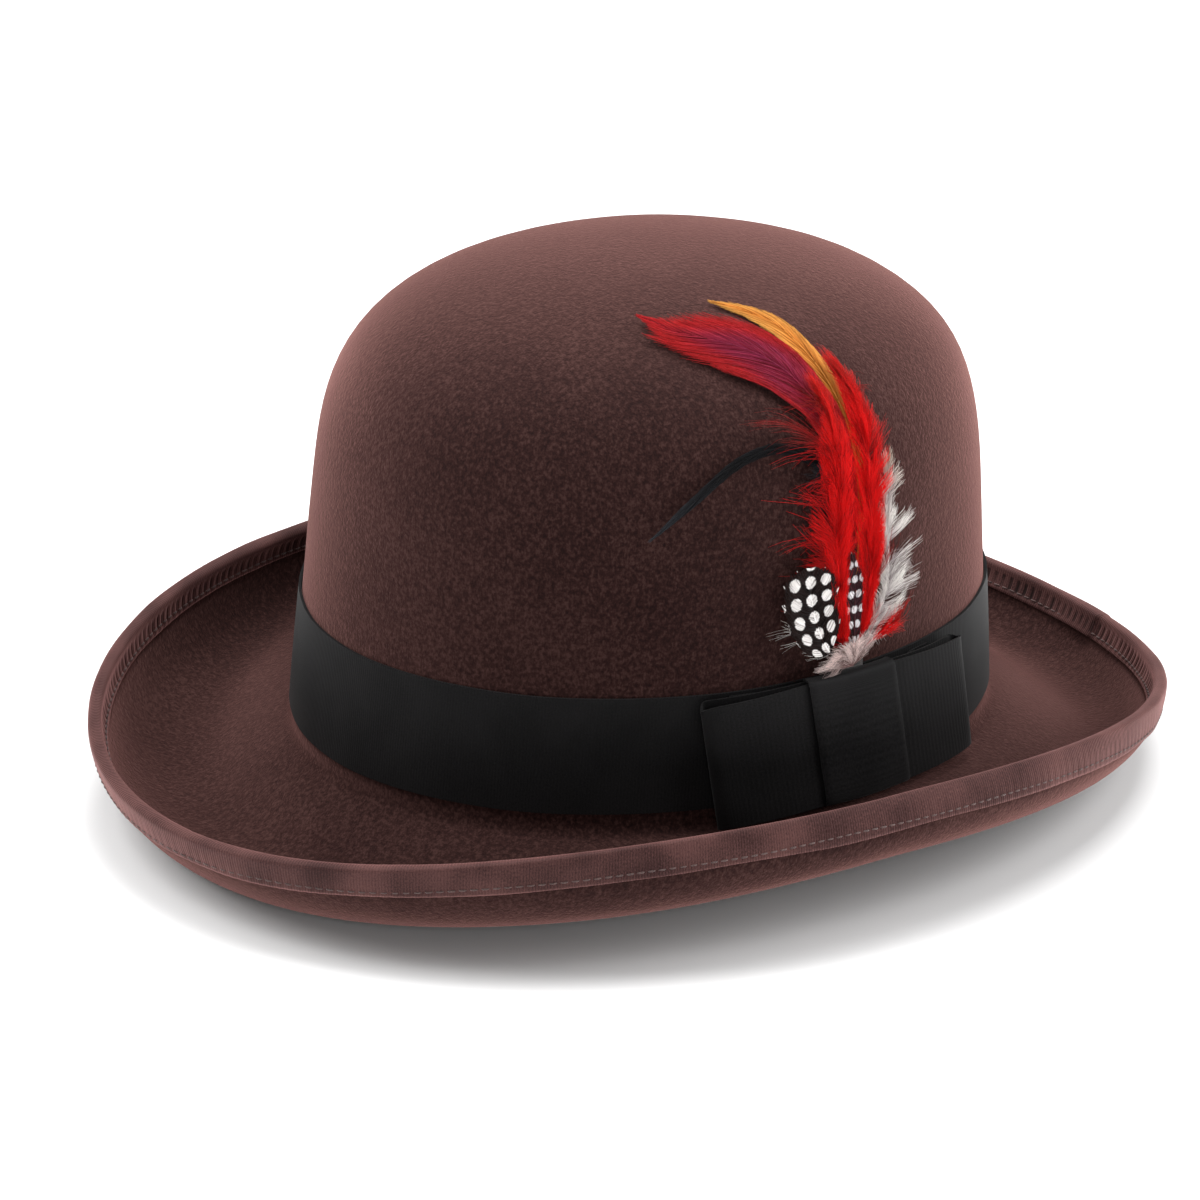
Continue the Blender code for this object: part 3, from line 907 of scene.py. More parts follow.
    @staticmethod
    def tube_frames(centres: Points, normals: Points) -> tuple[Points, Points]:
        """Two directions across each path.

        Args:
            centres: Paths, as copies x stations x 3.
            normals: Rough second direction at each station.

        Returns:
            The direction across and the direction off the surface, both of unit length.
        """
        tangent = np.gradient(centres, axis=1)
        tangent /= np.maximum(np.linalg.norm(tangent, axis=-1, keepdims=True), 1e-12)
        across = np.cross(normals, tangent)
        across /= np.maximum(np.linalg.norm(across, axis=-1, keepdims=True), 1e-12)
        return across, np.cross(tangent, across)

    @staticmethod
    def sweep(name: str, sides: int, centres: Points, normals: Points, wide: Points,
              thick: Points, uv: Optional[Points] = None, **numbers: Points) -> bpy.types.Object:
        """Many rods copied from one, each bent along its own path.

        Args:
            name: The piece's name.
            sides: Sides of the rod.
            centres: Paths in metres, as copies x stations x 3.
            normals: Direction off the surface at each station.
            wide: Half width at each station, in millimetres.
            thick: Half thickness at each station, in millimetres.
            uv: UV at each station, in millimetres.
            numbers: Numbers to store, at each station.

        Returns:
            The piece.
        """
        spans = centres.shape[1] - 1
        rod = Bench.strand(name + "_pattern", sides, spans)
        shape = Bench.points(rod)
        level = np.rint(shape[:, 2] * spans).astype(int)
        across, off = Bench.tube_frames(centres, normals)
        wide = np.broadcast_to(wide, centres.shape[:2])[:, level, None] * MM
        thick = np.broadcast_to(thick, centres.shape[:2])[:, level, None] * MM
        points = centres[:, level] + across[:, level] * wide * shape[None, :, 0, None]
        points = points + off[:, level] * thick * shape[None, :, 1, None]
        spread = {key: np.broadcast_to(value, centres.shape[:2])[:, level]
                  for key, value in numbers.items()}
        piece = Bench.copies(name, rod, points, None if uv is None else uv[:, level], **spread)
        Bench.discard(rod)
        return piece

    @staticmethod
    def dress(piece: bpy.types.Object, material: bpy.types.Material) -> None:
        """Give a piece one material."""
        piece.data.materials.clear()
        piece.data.materials.append(material)

    @staticmethod
    def fit(piece: bpy.types.Object, body: str, slot: str, nodes: Sequence[str]) -> None:
        """Fasten a piece to the frame.

        Args:
            piece: The piece.
            body: The body that it rides on.
            slot: The record's material slot; not used.
            nodes: The plain solids that it stands for.
        """
        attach(piece, body)
        if nodes:
            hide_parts(*nodes)
        LOG.info("%s: %d faces", piece.name, len(piece.data.polygons))


def smooth_path(stations: Sequence[Sequence[float]], steps: int) -> Points:
    """Points of a smooth curve through stations, with steps points for each span.

    Args:
        stations: The values at each station.
        steps: Points for each span.

    Returns:
        The values at each point.
    """
    ends = np.array([stations[0], *stations, stations[-1]], float)
    share = np.arange(steps)[:, None] / steps
    spans = []
    for a, b, c, d in zip(ends, ends[1:], ends[2:], ends[3:]):
        spans.append(0.5 * (2 * b + (c - a) * share + (2 * a - 5 * b + 4 * c - d) * share ** 2
                            + (3 * b - a - 3 * c + d) * share ** 3))
    return np.vstack([*spans, ends[-1:]])


def follow(path: Points, share: Points) -> Points:
    """Values along a path at shares of its number of points, as one column for each value."""
    places = np.linspace(0.0, 1.0, len(path))
    return np.stack([np.interp(share, places, column) for column in path.T], -1)


def ribbon_edge(across: Points) -> Points:
    """1 at a ribbon's upper edge, -1 at its lower edge and 0 between them."""
    return np.clip(np.abs(across - 0.5) * 24.0 - 11.0, 0.0, 1.0) * np.sign(across - 0.5)


def ripple(turn: Points, *waves: tuple[float, float, float]) -> Points:
    """Sum of waves round the hat, each a number of cycles, a size and a phase in degrees."""
    return sum(size * np.sin(np.radians(turn) * cycles + math.radians(phase))
               for cycles, size, phase in waves)


# ---------------------------------------------------------------- felt

@dataclass
class FeltBody:
    """Crown and brim, blocked from one hood of felt.

    The shares are the places across the sheet where the brim's curl, its straight run, the
    fillet and the crown's wall end. The rest of the sheet is the dome.
    """

    columns: int = 288
    rows: int = 96
    curl_share: float = 0.27
    run_share: float = 0.40
    fillet_share: float = 0.47
    wall_share: float = 0.70
    wall_height: float = 60.0
    unevenness: float = 0.35
    flat: tuple[float, float] = (620.0, 250.0)
    finish: FeltFinish = field(default_factory=FeltFinish)

    def surface(self, along: Points, across: Points) -> Points:
        """Outer face, from the brim's edge at 0 across to the tip of the crown at 1.

        Args:
            along: Share along the sheet.
            across: Share across it.

        Returns:
            The points, in metres.
        """
        turn = along * TURN
        start, finish, radius, width = BLOCK.section(turn)
        run = width - radius * (finish - start)
        foot = BLOCK.tangent(turn)
        curl = np.clip(1.0 - across / self.curl_share, 0.0, 1.0)
        flat = np.clip((self.run_share - across) / (self.run_share - self.curl_share), 0.0, 1.0)
        travel = foot + (run - foot) * flat + (width - run) * curl
        wave = ripple(turn, (3, 0.20, 20), (5, 0.14, 80), (9, 0.07, 200)) * np.clip(flat, 0, 1)
        brim = BLOCK.on_brim(turn, travel, wave * (1.0 - curl))
        bend = np.clip((across - self.run_share) / (self.fillet_share - self.run_share), 0.0, 1.0)
        fillet = BLOCK.on_fillet(turn, 1.0 - bend)
        wall = np.clip((across - self.fillet_share) / (self.wall_share - self.fillet_share), 0, 1)
        dome = np.clip((across - self.wall_share) / (1.0 - self.wall_share), 0.0, 1.0)
        height = foot + (self.wall_height - foot) * wall
        height = height + (BLOCK.height - self.wall_height) * np.sin(0.5 * math.pi * dome)
        height = np.minimum(height, BLOCK.height)
        uneven = ripple(turn + height, (2, 0.5, 40), (3, 0.3, 110), (7, 0.2, 300))
        uneven = uneven * self.unevenness * np.sin(math.pi * np.clip(dome * 1.15, 0.0, 1.0))
        crown = BLOCK.crown(turn, height)
        safe = np.minimum(height, BLOCK.height - 0.3)
        crown = crown + BLOCK.outward(turn, safe) * uneven[:, None] * MM
        points = np.where((across <= self.run_share)[:, None], brim, fillet)
        return np.where((across > self.fillet_share)[:, None], crown, points)

    def build(self) -> None:
        """Build the felt body and dress it."""
        felt = Bench.sheet("felt_hat_body", self.columns, self.rows, self.surface, self.flat,
                           closed=True)
        Bench.wall(felt, BLOCK.felt, -1.0)
        Bench.sharpen(felt, 60.0)
        Bench.dress(felt, self.finish.make())
        Bench.fit(felt, HAT, "felt", ["felt_body"])


# ---------------------------------------------------------------- binding

@dataclass
class BrimBinding:
    """Grosgrain folded over the brim's edge, puckered by two rows of stitches.

    Stitch_rows are the far and the near end of the puckered part, from the brim's edge, and
    stitch_span is a stitch's half length as a share of their pitch.
    """

    leg: float = 7.0
    thick: float = 0.45
    stitches: int = BINDING_STITCHES
    columns_per_stitch: int = 5
    rows: int = 26
    stitch_rows: tuple[float, float] = (5.4, 1.2)
    stitch_span: float = 0.33
    stitch_dip: float = 0.2
    thread: float = 0.23
    recess: float = 0.45
    selvage: float = 0.22
    join_turn: float = 84.0
    join_length: float = 9.0
    join_rise: float = 0.75

    @property
    def fold(self) -> float:
        """Radius of the ribbon's fold round the brim's edge."""
        return 0.5 * BLOCK.felt + GAP + self.thick

    @property
    def length(self) -> float:
        """Distance over the fold from one edge of the ribbon to the other."""
        return 2.0 * self.leg + math.pi * self.fold

    def section(self, across: Points) -> tuple[Points, Points]:
        """Travel past the brim's edge and lift off its top face, from the top leg to the under one.

        Args:
            across: Share across the ribbon.

        Returns:
            The travel and the lift, in millimetres.
        """
        half = self.fold
        bend = math.pi * half
        spot = across * self.length
        angle = np.clip((spot - self.leg) / half, 0.0, math.pi)
        travel = np.where(spot < self.leg, spot - self.leg, 0.0)
        travel = np.where(spot > self.leg + bend, -(spot - self.leg - bend), travel)
        travel = travel + 0.55 * half * np.sin(angle)
        lift = -0.5 * BLOCK.felt + half * np.cos(angle)
        return travel, lift

    def pucker(self, turn: Points, travel: Points, top: Points) -> Points:
        """Rise of the ribbon, with a recess at each stitch and a thicker edge.

        Args:
            turn: Degrees round the crown.
            travel: Millimetres past the brim's edge.
            top: 1 on the upper leg and 0 on the under one.

        Returns:
            The rise, in millimetres.
        """
        stitch = 0.5 + 0.5 * np.cos(np.radians(turn) * self.stitches)
        low, high = self.stitch_rows
        slot = np.clip((low + 0.6 + travel) / 0.8, 0.0, 1.0) * np.clip((-travel - high) / 0.8, 0.0, 1.0)
        uneven = 0.75 + ripple(turn, (31, 0.15, 0), (53, 0.1, 40))
        rise = -self.recess * uneven * stitch ** 3 * slot * (0.1 + 0.9 * top)
        rise = rise + self.selvage * np.clip(1.0 - np.abs(travel + self.leg - 0.5) / 0.7, 0.0, 1.0)
        rise = rise + 0.10 * (1.0 - stitch) * np.clip(-travel / self.leg, 0.0, 1.0)
        off = (turn - self.join_turn + 0.5 * TURN) % TURN - 0.5 * TURN
        over = np.clip((off + 0.25) / 0.3, 0.0, 1.0) * np.clip((self.join_length - off) / 5.0, 0, 1)
        rise = rise * (1.0 - 0.5 * over) + over * self.join_rise
        return rise + ripple(turn, (23, 0.05, 0), (37, 0.04, 70))

    def wander(self, turn: Points) -> Points:
        """How far the ribbon's edge and its stitches stray from an even line."""
        return ripple(turn, (11, 0.12, 10), (17, 0.1, 50))

    def surface(self, along: Points, across: Points) -> Points:
        """Outer face of the ribbon.

        Args:
            along: Share along the sheet.
            across: Share across it.

        Returns:
            The points, in metres.
        """
        turn = along * TURN
        travel, lift = self.section(across)
        top = across < 0.5
        rise = self.pucker(turn, travel, top.astype(float))
        wander = self.wander(turn) * np.clip(-travel / self.leg, 0.0, 1.0)
        width = BLOCK.section(turn)[3]
        return BLOCK.on_brim(turn, width + travel + wander, lift + np.where(top, rise, -rise))

    def stitch_paths(self, lift: float, outward: float) -> tuple[Points, Points]:
        """Paths of the stitches on one face, and the directions off it.

        Args:
            lift: Millimetres off the brim's top face.
            outward: 1 where the face looks up and -1 where it looks down.

        Returns:
            The paths and the directions, as stitches x stations x 3.
        """
        share = np.linspace(-self.stitch_span, self.stitch_span, len(STITCH_TAPER))
        turn = (np.arange(self.stitches)[:, None] + 0.5 + share[None]) * (TURN / self.stitches)
        width = BLOCK.section(turn)[3]
        arch = (1.0 - (share / self.stitch_span) ** 2)[None]
        dip = self.stitch_dip * arch + np.zeros_like(turn)
        inset = self.stitch_rows[0] + self.wander(turn)
        path = BLOCK.on_brim(turn, width - inset, lift + outward * dip)
        above = BLOCK.on_brim(turn, width - inset, lift + outward * (dip + 1.0))
        normal = above - path
        return path, normal / np.linalg.norm(normal, axis=-1, keepdims=True)

    def build(self) -> None:
        """Build the ribbon and its threads."""
        length = self.length
        ribbon = Bench.sheet("binding_ribbon", self.stitches * self.columns_per_stitch, self.rows,
                             lambda u, v: self.surface(u, 1.0 - v), (BINDING_LENGTH, length),
                             closed=True)
        Bench.wall(ribbon, self.thick, -1.0)
        Bench.dress(ribbon, BROWN_GROSGRAIN.make())
        Bench.fit(ribbon, HAT, "binding", ["brim_binding"])
        thread = BROWN_THREAD.make()
        base = GAP + self.thick
        faces = (("upper", base + 0.05, 1.0), ("under", -BLOCK.felt - base + 0.05, -1.0))
        for face, lift, outward in faces:
            path, normal = self.stitch_paths(lift, outward)
            thick = self.thread * STITCH_TAPER
            row = Bench.sweep(f"binding_stitches_{face}", 6, path, normal, thick, thick)
            Bench.dress(row, thread)
            Bench.fit(row, HAT, "brown_thread", [f"binding_thread_{face}"])


# ---------------------------------------------------------------- band and bow

@dataclass
class HatBand:
    """Ribbon round the foot of the crown."""

    low: float = 5.6
    high: float = 38.8
    thick: float = 0.8
    girth: float = 608.0
    serration: float = 0.11

    def surface(self, along: Points, across: Points) -> Points:
        """Inner face of the ribbon.

        Args:
            along: Share along the sheet.
            across: Share across it.

        Returns:
            The points, in metres.
        """
        turn = along * TURN
        height = self.low + (self.high - self.low) * across
        teeth = 0.5 + 0.5 * np.cos(np.radians(turn) * self.teeth)
        height = height + ribbon_edge(across) * self.serration * teeth
        height = height + ripple(turn, (2, 0.25, 60), (5, 0.12, 10), (9, 0.08, 0))
        bulge = 0.12 * np.sin(across * math.pi) + 0.08 * ripple(turn, (13, 0.7, 0), (21, 0.5, 60))
        return BLOCK.on_crown(turn, height, GAP + np.maximum(bulge, -0.1))

    @property
    def teeth(self) -> int:
        """Number of ribs round the band."""
        return round(math.pi * (BLOCK.half_width + BLOCK.half_length) / RIB)

    def build(self) -> None:
        """Build the band and dress it."""
        band = Bench.sheet("grosgrain_band", 2 * self.teeth, 12, self.surface,
                           (self.girth, self.high - self.low), closed=True)
        Bench.wall(band, self.thick, 1.0)
        Bench.sharpen(band)
        Bench.dress(band, BLACK_GROSGRAIN.make())
        Bench.fit(band, HAT, "band_ribbon", ["hat_band"])


@dataclass
class SideBow:
    """Flat bow over the band's join: a backing, two folded loops and the wrap round them.

    The backing's path gives turns round the crown and standoffs from it.
    """

    low: float = 3.0
    high: float = 40.0
    lean: float = 0.1
    ribbon: float = 0.5
    wrap_ribbon: float = 0.6
    serration: float = 0.1
    wrap_turns: tuple[float, float] = (-3.7, 12.0)
    wrap_flat: tuple[float, float] = (26.0, 50.0)
    backing: tuple[tuple[float, float], ...] = (
        (-15.5, 1.4), (-11.5, 1.4), (-9.5, 2.6), (-7.0, 4.1), (-1.5, 4.1), (4.0, 4.1),
        (9.5, 4.1), (15.0, 4.1), (17.5, 2.6), (19.5, 1.4), (23.5, 1.4))

    def point(self, turn: Points, height: Points, standoff: Points) -> Points:
        """Point of the bow, which leans a little round the crown as it rises."""
        middle = 0.5 * (self.low + self.high)
        return BLOCK.on_crown(turn + self.lean * (middle - height), height, standoff)

    def strip(self, name: str, path: Points, low: float, high: float, length: float,
              lip: float = 0.0, droop: float = 0.0, sag: float = 0.0) -> bpy.types.Object:
        """Ribbon that stands on its edge along a path of turns and standoffs.

        Args:
            name: The piece's name.
            path: Turn and standoff at each point.
            low: Lower edge.
            high: Upper edge.
            length: Length along the ribbon.
            lip: How much higher the layer next to the band stands.
            droop: How far both edges fall towards the fold.
            sag: How much further the upper edge falls.

        Returns:
            The piece.
        """
        def surface(along: Points, across: Points) -> Points:
            """Face of the ribbon next to the crown.

            Args:
                along: Share along the sheet.
                across: Share across it.

            Returns:
                The points, in metres.
            """
            turn, standoff = follow(path, along).T
            height = low + (high - low) * across
            teeth = 0.5 + 0.5 * np.cos(along * length / RIB * math.tau)
            under = np.clip((0.5 - along) * 12.0, 0.0, 1.0)
            far = np.clip(along * 2.6, 0.0, 1.0)
            height = height + ribbon_edge(across) * teeth * self.serration + lip * under * far * across
            fold = np.clip(1.0 - np.abs(along - 0.5) / 0.46, 0.0, 1.0)
            height = height - fold * (droop + sag * across)
            soft = 0.14 * np.sin(along * 21.0 + across * 2.0) * np.sin(across * math.pi)
            return self.point(turn, height, standoff + soft)

        columns = 2 * round(length / RIB)
        piece = Bench.sheet(name, columns, 16, surface, (length, high - low))
        Bench.wall(piece, self.ribbon, 1.0)
        Bench.sharpen(piece)
        return piece

    def loop(self, inner: float, outer: float, fold: float) -> Points:
        """Path of a flattened loop, from its inner end out to the fold and back.

        Args:
            inner: Turn at the wrapped end.
            outer: Turn at the fold.
            fold: How far the fold is pressed in.

        Returns:
            Turn and standoff at each point.
        """
        length = outer - inner
        under = [(0.0, 5.2), (0.3, 5.1), (0.6, 4.7), (0.85, 3.9), (0.96, 3.5 - fold)]
        over = [(1.0, 4.6), (0.975, 5.9), (0.88, 6.7), (0.6, 6.8), (0.3, 6.5), (0.0, 6.2)]
        return smooth_path([(inner + length * share, off) for share, off in under + over], 8)

    def wrap_surface(self, along: Points, across: Points) -> Points:
        """Inner face of the wrap, which goes over the bow and turns under at both ends.

        Args:
            along: Share along the sheet.
            across: Share across it.

        Returns:
            The points, in metres.
        """
        inside = 6.8 + self.ribbon + GAP
        section = smooth_path([(4.6, self.high + 0.2), (5.8, self.high + 0.35),
                               (inside - 0.25, self.high + 0.1), (inside, self.high - 1.4),
                               (inside + 0.05, self.high - 5.0), (inside + 0.1, 21.5),
                               (inside, self.low + 4.0), (inside - 0.1, self.low + 1.4),
                               (inside - 0.5, self.low + 0.3), (5.8, self.low - 0.1),
                               (4.6, self.low - 0.1)], 6)
        standoff, height = follow(section, along).T
        turn = self.wrap_turns[1] + (self.wrap_turns[0] - self.wrap_turns[1]) * (1.0 - across)
        turn = turn + 0.06 * np.sin(along * 90.0) * (np.abs(across - 0.5) > 0.49)
        round_off = -0.35 * np.clip(np.abs(across - 0.5) * 14.0 - 6.0, 0.0, 1.0) ** 2
        crown = 0.25 * np.sin(across * math.pi) + 0.1 * np.sin(across * 9.0 + along * 5.0)
        return self.point(turn, height, standoff + crown + round_off)

    def build(self) -> None:
        """Build the bow and dress it."""
        material = BLACK_GROSGRAIN.make()
        backing = self.strip("bow_backing_ribbon", smooth_path(self.backing, 8), self.low + 3.0,
                             self.high - 2.0, 66.0)
        front = self.strip("bow_front_ribbon_loop", self.loop(-1.0, -20.6, 0.5), self.low,
                           self.high, 66.0, lip=1.1, droop=2.4, sag=2.0)
        rear = self.strip("bow_rear_ribbon_loop", self.loop(9.6, 29.8, 0.0)[::-1], self.low,
                          self.high, 68.0, droop=0.2, sag=3.2)
        wrap = Bench.sheet("bow_wrap_ribbon", 76, 24, lambda u, v: self.wrap_surface(1.0 - v, u),
                           self.wrap_flat, turned=True)
        Bench.wall(wrap, self.wrap_ribbon, 1.0)
        Bench.sharpen(wrap)
        pieces = ((backing, "bow_backing", (0.035, 0.066)), (front, "bow_front_loop", (0.037, 0.066)),
                  (rear, "bow_rear_loop", (0.037, 0.068)), (wrap, "bow_wrap", (0.026, 0.050)))
        for piece, node, flat in pieces:
            Bench.dress(piece, material)
            Bench.fit(piece, HAT, "band_ribbon", [node])


# ---------------------------------------------------------------- inside of the hat

@dataclass
class Inside:
    """Sweatband with its reed, thread and bow, and the satin lining."""

    sweatband_low: float = 0.6
    sweatband_high: float = 44.0
    sweatband_thick: float = 1.2
    lining_thick: float = 0.5
    reed_radius: float = 1.1
    reed_cloth: float = 7.0
    lining_low: float = 8.0
    lining_seam: float = 109.0
    lining_sag: float = 3.0
    lining_girth: float = 575.0
    satin: float = 0.3
    tip_flat: tuple[float, float] = (400.0, 70.0)
    head_girth: float = 580.0
    gathers: int = 44
    stitches: int = 150
    stitch_span: float = 0.36
    thread: float = 0.24
    bow_ribbon: float = 0.25
    bow_flat: tuple[float, float] = (46.0, 8.0)
    knot_flat: tuple[float, float] = (9.0, 3.6)

    @property
    def leather_back(self) -> float:
        """Standoff of the sweatband's outer face."""
        return -(BLOCK.felt + GAP + self.lining_thick + GAP)

    def standoff(self, height: Points) -> Points:
        """Standoff of the lining's outer face.

        Args:
            height: Millimetres above the crown's foot.

        Returns:
            The standoff, in millimetres.
        """
        span = BLOCK.height - self.sweatband_high
        share = np.clip((height - self.sweatband_high) / span, 0.0, 1.0)
        return -(BLOCK.felt + GAP) - self.lining_sag * share ** 2

    def build_sweatband(self) -> None:
        """Leather band, its reed and its stitches."""
        depth = self.sweatband_high - self.sweatband_low

        def leather(along: Points, across: Points) -> Points:
            """Outer face of the leather, a little loose at its upper edge.

            Args:
                along: Share along the sheet.
                across: Share across it.

            Returns:
                The points, in metres.
            """
            turn = along * TURN
            height = self.sweatband_low + depth * across
            loose = 0.45 * np.clip(across * 1.6 - 0.6, 0.0, 1.0)
            loose = loose * (1.0 + ripple(turn, (7, 0.5, 0), (11, 0.4, 9)))
            return BLOCK.on_crown(turn, height, self.leather_back - 0.5 * loose)

        band = Bench.sheet("leather_sweatband", 240, 14, leather, (self.head_girth, depth),
                           closed=True)
        Bench.wall(band, self.sweatband_thick, -1.0)
        Bench.apply(band, "BEVEL", width=0.3 * MM, segments=2, limit_method="ANGLE")
        Bench.sharpen(band)
        Bench.dress(band, LeatherFinish().make())
        Bench.fit(band, HAT, "sweatband_leather", ["sweatband"])

        middle = self.leather_back - 0.5 * self.sweatband_thick
        level = self.sweatband_low - GAP - self.reed_radius

        def reed(along: Points, across: Points) -> Points:
            """Face of the reed, with the weave of its cloth.

            Args:
                along: Share along the sheet.
                across: Share of the way round the reed.

            Returns:
                The points, in metres.
            """
            here = along * TURN
            twist = across * math.tau
            height = level + self.reed_radius * np.sin(twist)
            weave = 0.06 * np.sin(np.radians(here) * 420.0)
            return BLOCK.on_crown(here, height, middle + (self.reed_radius + weave) * np.cos(twist))

        rod = Bench.sheet("covered_reed", 840, 12, reed, (self.head_girth, self.reed_cloth),
                          closed=True)
        cloth = RibbonFinish("reed_cloth", (0.085, 0.045, 0.026), (0.22, 0.13, 0.08), pitch=0.7)
        Bench.dress(rod, cloth.make())
        Bench.fit(rod, HAT, "reed", ["sweatband_reed"])

        face = self.leather_back - self.sweatband_thick
        share = np.linspace(-self.stitch_span, self.stitch_span, len(STITCH_TAPER))
        turns = (np.arange(self.stitches)[:, None] + share[None]) * (TURN / self.stitches)
        lean = self.sweatband_low + 2.2 + share[None] * 1.6 + np.zeros_like(turns)
        arch = 0.15 + 0.25 * (1.0 - (share / self.stitch_span) ** 2)[None]
        path = BLOCK.on_crown(turns, lean, face - arch)
        thick = self.thread * STITCH_TAPER
        row = Bench.sweep("sweatband_stitches", 6, path, -BLOCK.outward(turns, lean), thick, thick)
        Bench.dress(row, TAN_THREAD.make())
        Bench.fit(row, HAT, "brown_thread", ["sweatband_thread"])

    def build_bow(self) -> None:
        """Small ribbon bow over the sweatband's join: two loops and a knot."""
        low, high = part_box("sweatband_bow")
        centre = np.array((low + high) * 0.5)
        half = np.array((high - low) * 0.5)

        def leaf(along: Points, across: Points) -> Points:
            """Face of the two loops, pinched in the middle.

            Args:
                along: Share along the sheet.
                across: Share across it.

            Returns:
                The points, in metres.
            """
            angle = along * math.tau
            out = np.abs(np.cos(angle)) ** 0.8 * np.sign(np.cos(angle))
            pinch = 0.32 + 0.68 * np.abs(out) ** 1.2
            x = centre[0] + half[0] * out
            y = centre[1] + half[1] * 0.75 * np.sin(angle) * (0.35 + 0.65 * np.abs(out))
            z = centre[2] + half[2] * pinch * (2.0 * across - 1.0)
            return np.stack([x, y, z], -1)

        def wound(along: Points, across: Points) -> Points:
            """Face of the knot, which goes round the pinch.

            Args:
                along: Share along the sheet.
                across: Share across it.

            Returns:
                The points, in metres.
            """
            angle = along * math.tau
            swell = 1.0 + 0.12 * np.cos(2.0 * angle)
            x = centre[0] + (across - 0.5) * self.knot_flat[1] * MM * swell
            y = centre[1] + np.cos(angle) * half[1] * 1.15
            z = centre[2] - np.sin(angle) * half[2] * 0.42
            return np.stack([x, y, z], -1)

        loops = Bench.sheet("sweatband_bow_loops", 72, 12, leaf, self.bow_flat, closed=True)
        Bench.wall(loops, self.bow_ribbon, 0.0)
        knot = Bench.sheet("sweatband_bow_knot", 24, 8, wound, self.knot_flat, closed=True)
        Bench.wall(knot, self.bow_ribbon, 0.0)
        material = BLACK_GROSGRAIN.make()
        for piece in (loops, knot):
            Bench.dress(piece, material)
            Bench.fit(piece, HAT, "sweatband_ribbon", ["sweatband_bow"])

    def build_lining(self) -> None:
        """Side of the lining, gathered at its top, and its oval tip."""
        depth = self.lining_seam - self.lining_low

        def side(along: Points, across: Points) -> Points:
            """Outer face of the side, with gathers towards the seam.

            Args:
                along: Share along the sheet.
                across: Share across it.

            Returns:
                The points, in metres.
            """
            turn = along * TURN
            height = self.lining_low + depth * across
            gather = np.clip(across * 1.7 - 0.7, 0.0, 1.0) ** 2
            angle = np.radians(turn)
            fold = 0.5 + 0.5 * np.sin(angle * self.gathers + 0.8 * np.sin(angle * 7.0))
            return BLOCK.on_crown(turn, height, self.standoff(height) - 0.9 * gather * fold)

        wall = Bench.sheet("lining_side_satin", 352, 40, side, (self.lining_girth, depth),
                           closed=True)
        Bench.wall(wall, self.satin, -1.0)
        Bench.dress(wall, SatinFinish().make())
        Bench.fit(wall, HAT, "satin_lining", ["lining_side"])

        slack = 0.6
        first, top = self.lining_seam + 1.0, BLOCK.height - slack

        def tip(along: Points, across: Points) -> Points:
            """Outer face of the tip, slack under the dome.

            Args:
                along: Share along the sheet.
                across: Share across it.

            Returns:
                The points, in metres.
            """
            turn = along * TURN
            height = first + (top - first) * np.sin(0.5 * math.pi * across)
            drape = 0.4 * np.sin(np.radians(turn) * 5.0) * across * (1.0 - across)
            flat = BLOCK.on_crown(turn, height, self.standoff(height) - slack - drape)
            apex = top + float(self.standoff(np.array(top))) - slack
            middle = BLOCK.stood_up(np.zeros(1), np.zeros(1), np.full(1, apex))
            return np.where((across > 0.999)[:, None], middle, flat)

        cap = Bench.sheet("lining_tip_satin", 192, 24, tip, self.tip_flat, closed=True)
        Bench.wall(cap, self.satin, -1.0)
        Bench.dress(cap, SatinFinish("bronze_satin_tip").make())
        Bench.fit(cap, HAT, "satin_lining", ["lining_tip"])

    def build(self) -> None:
        """Build everything inside the hat."""
        self.build_lining()
        self.build_sweatband()
        self.build_bow()


# ---------------------------------------------------------------- feathers

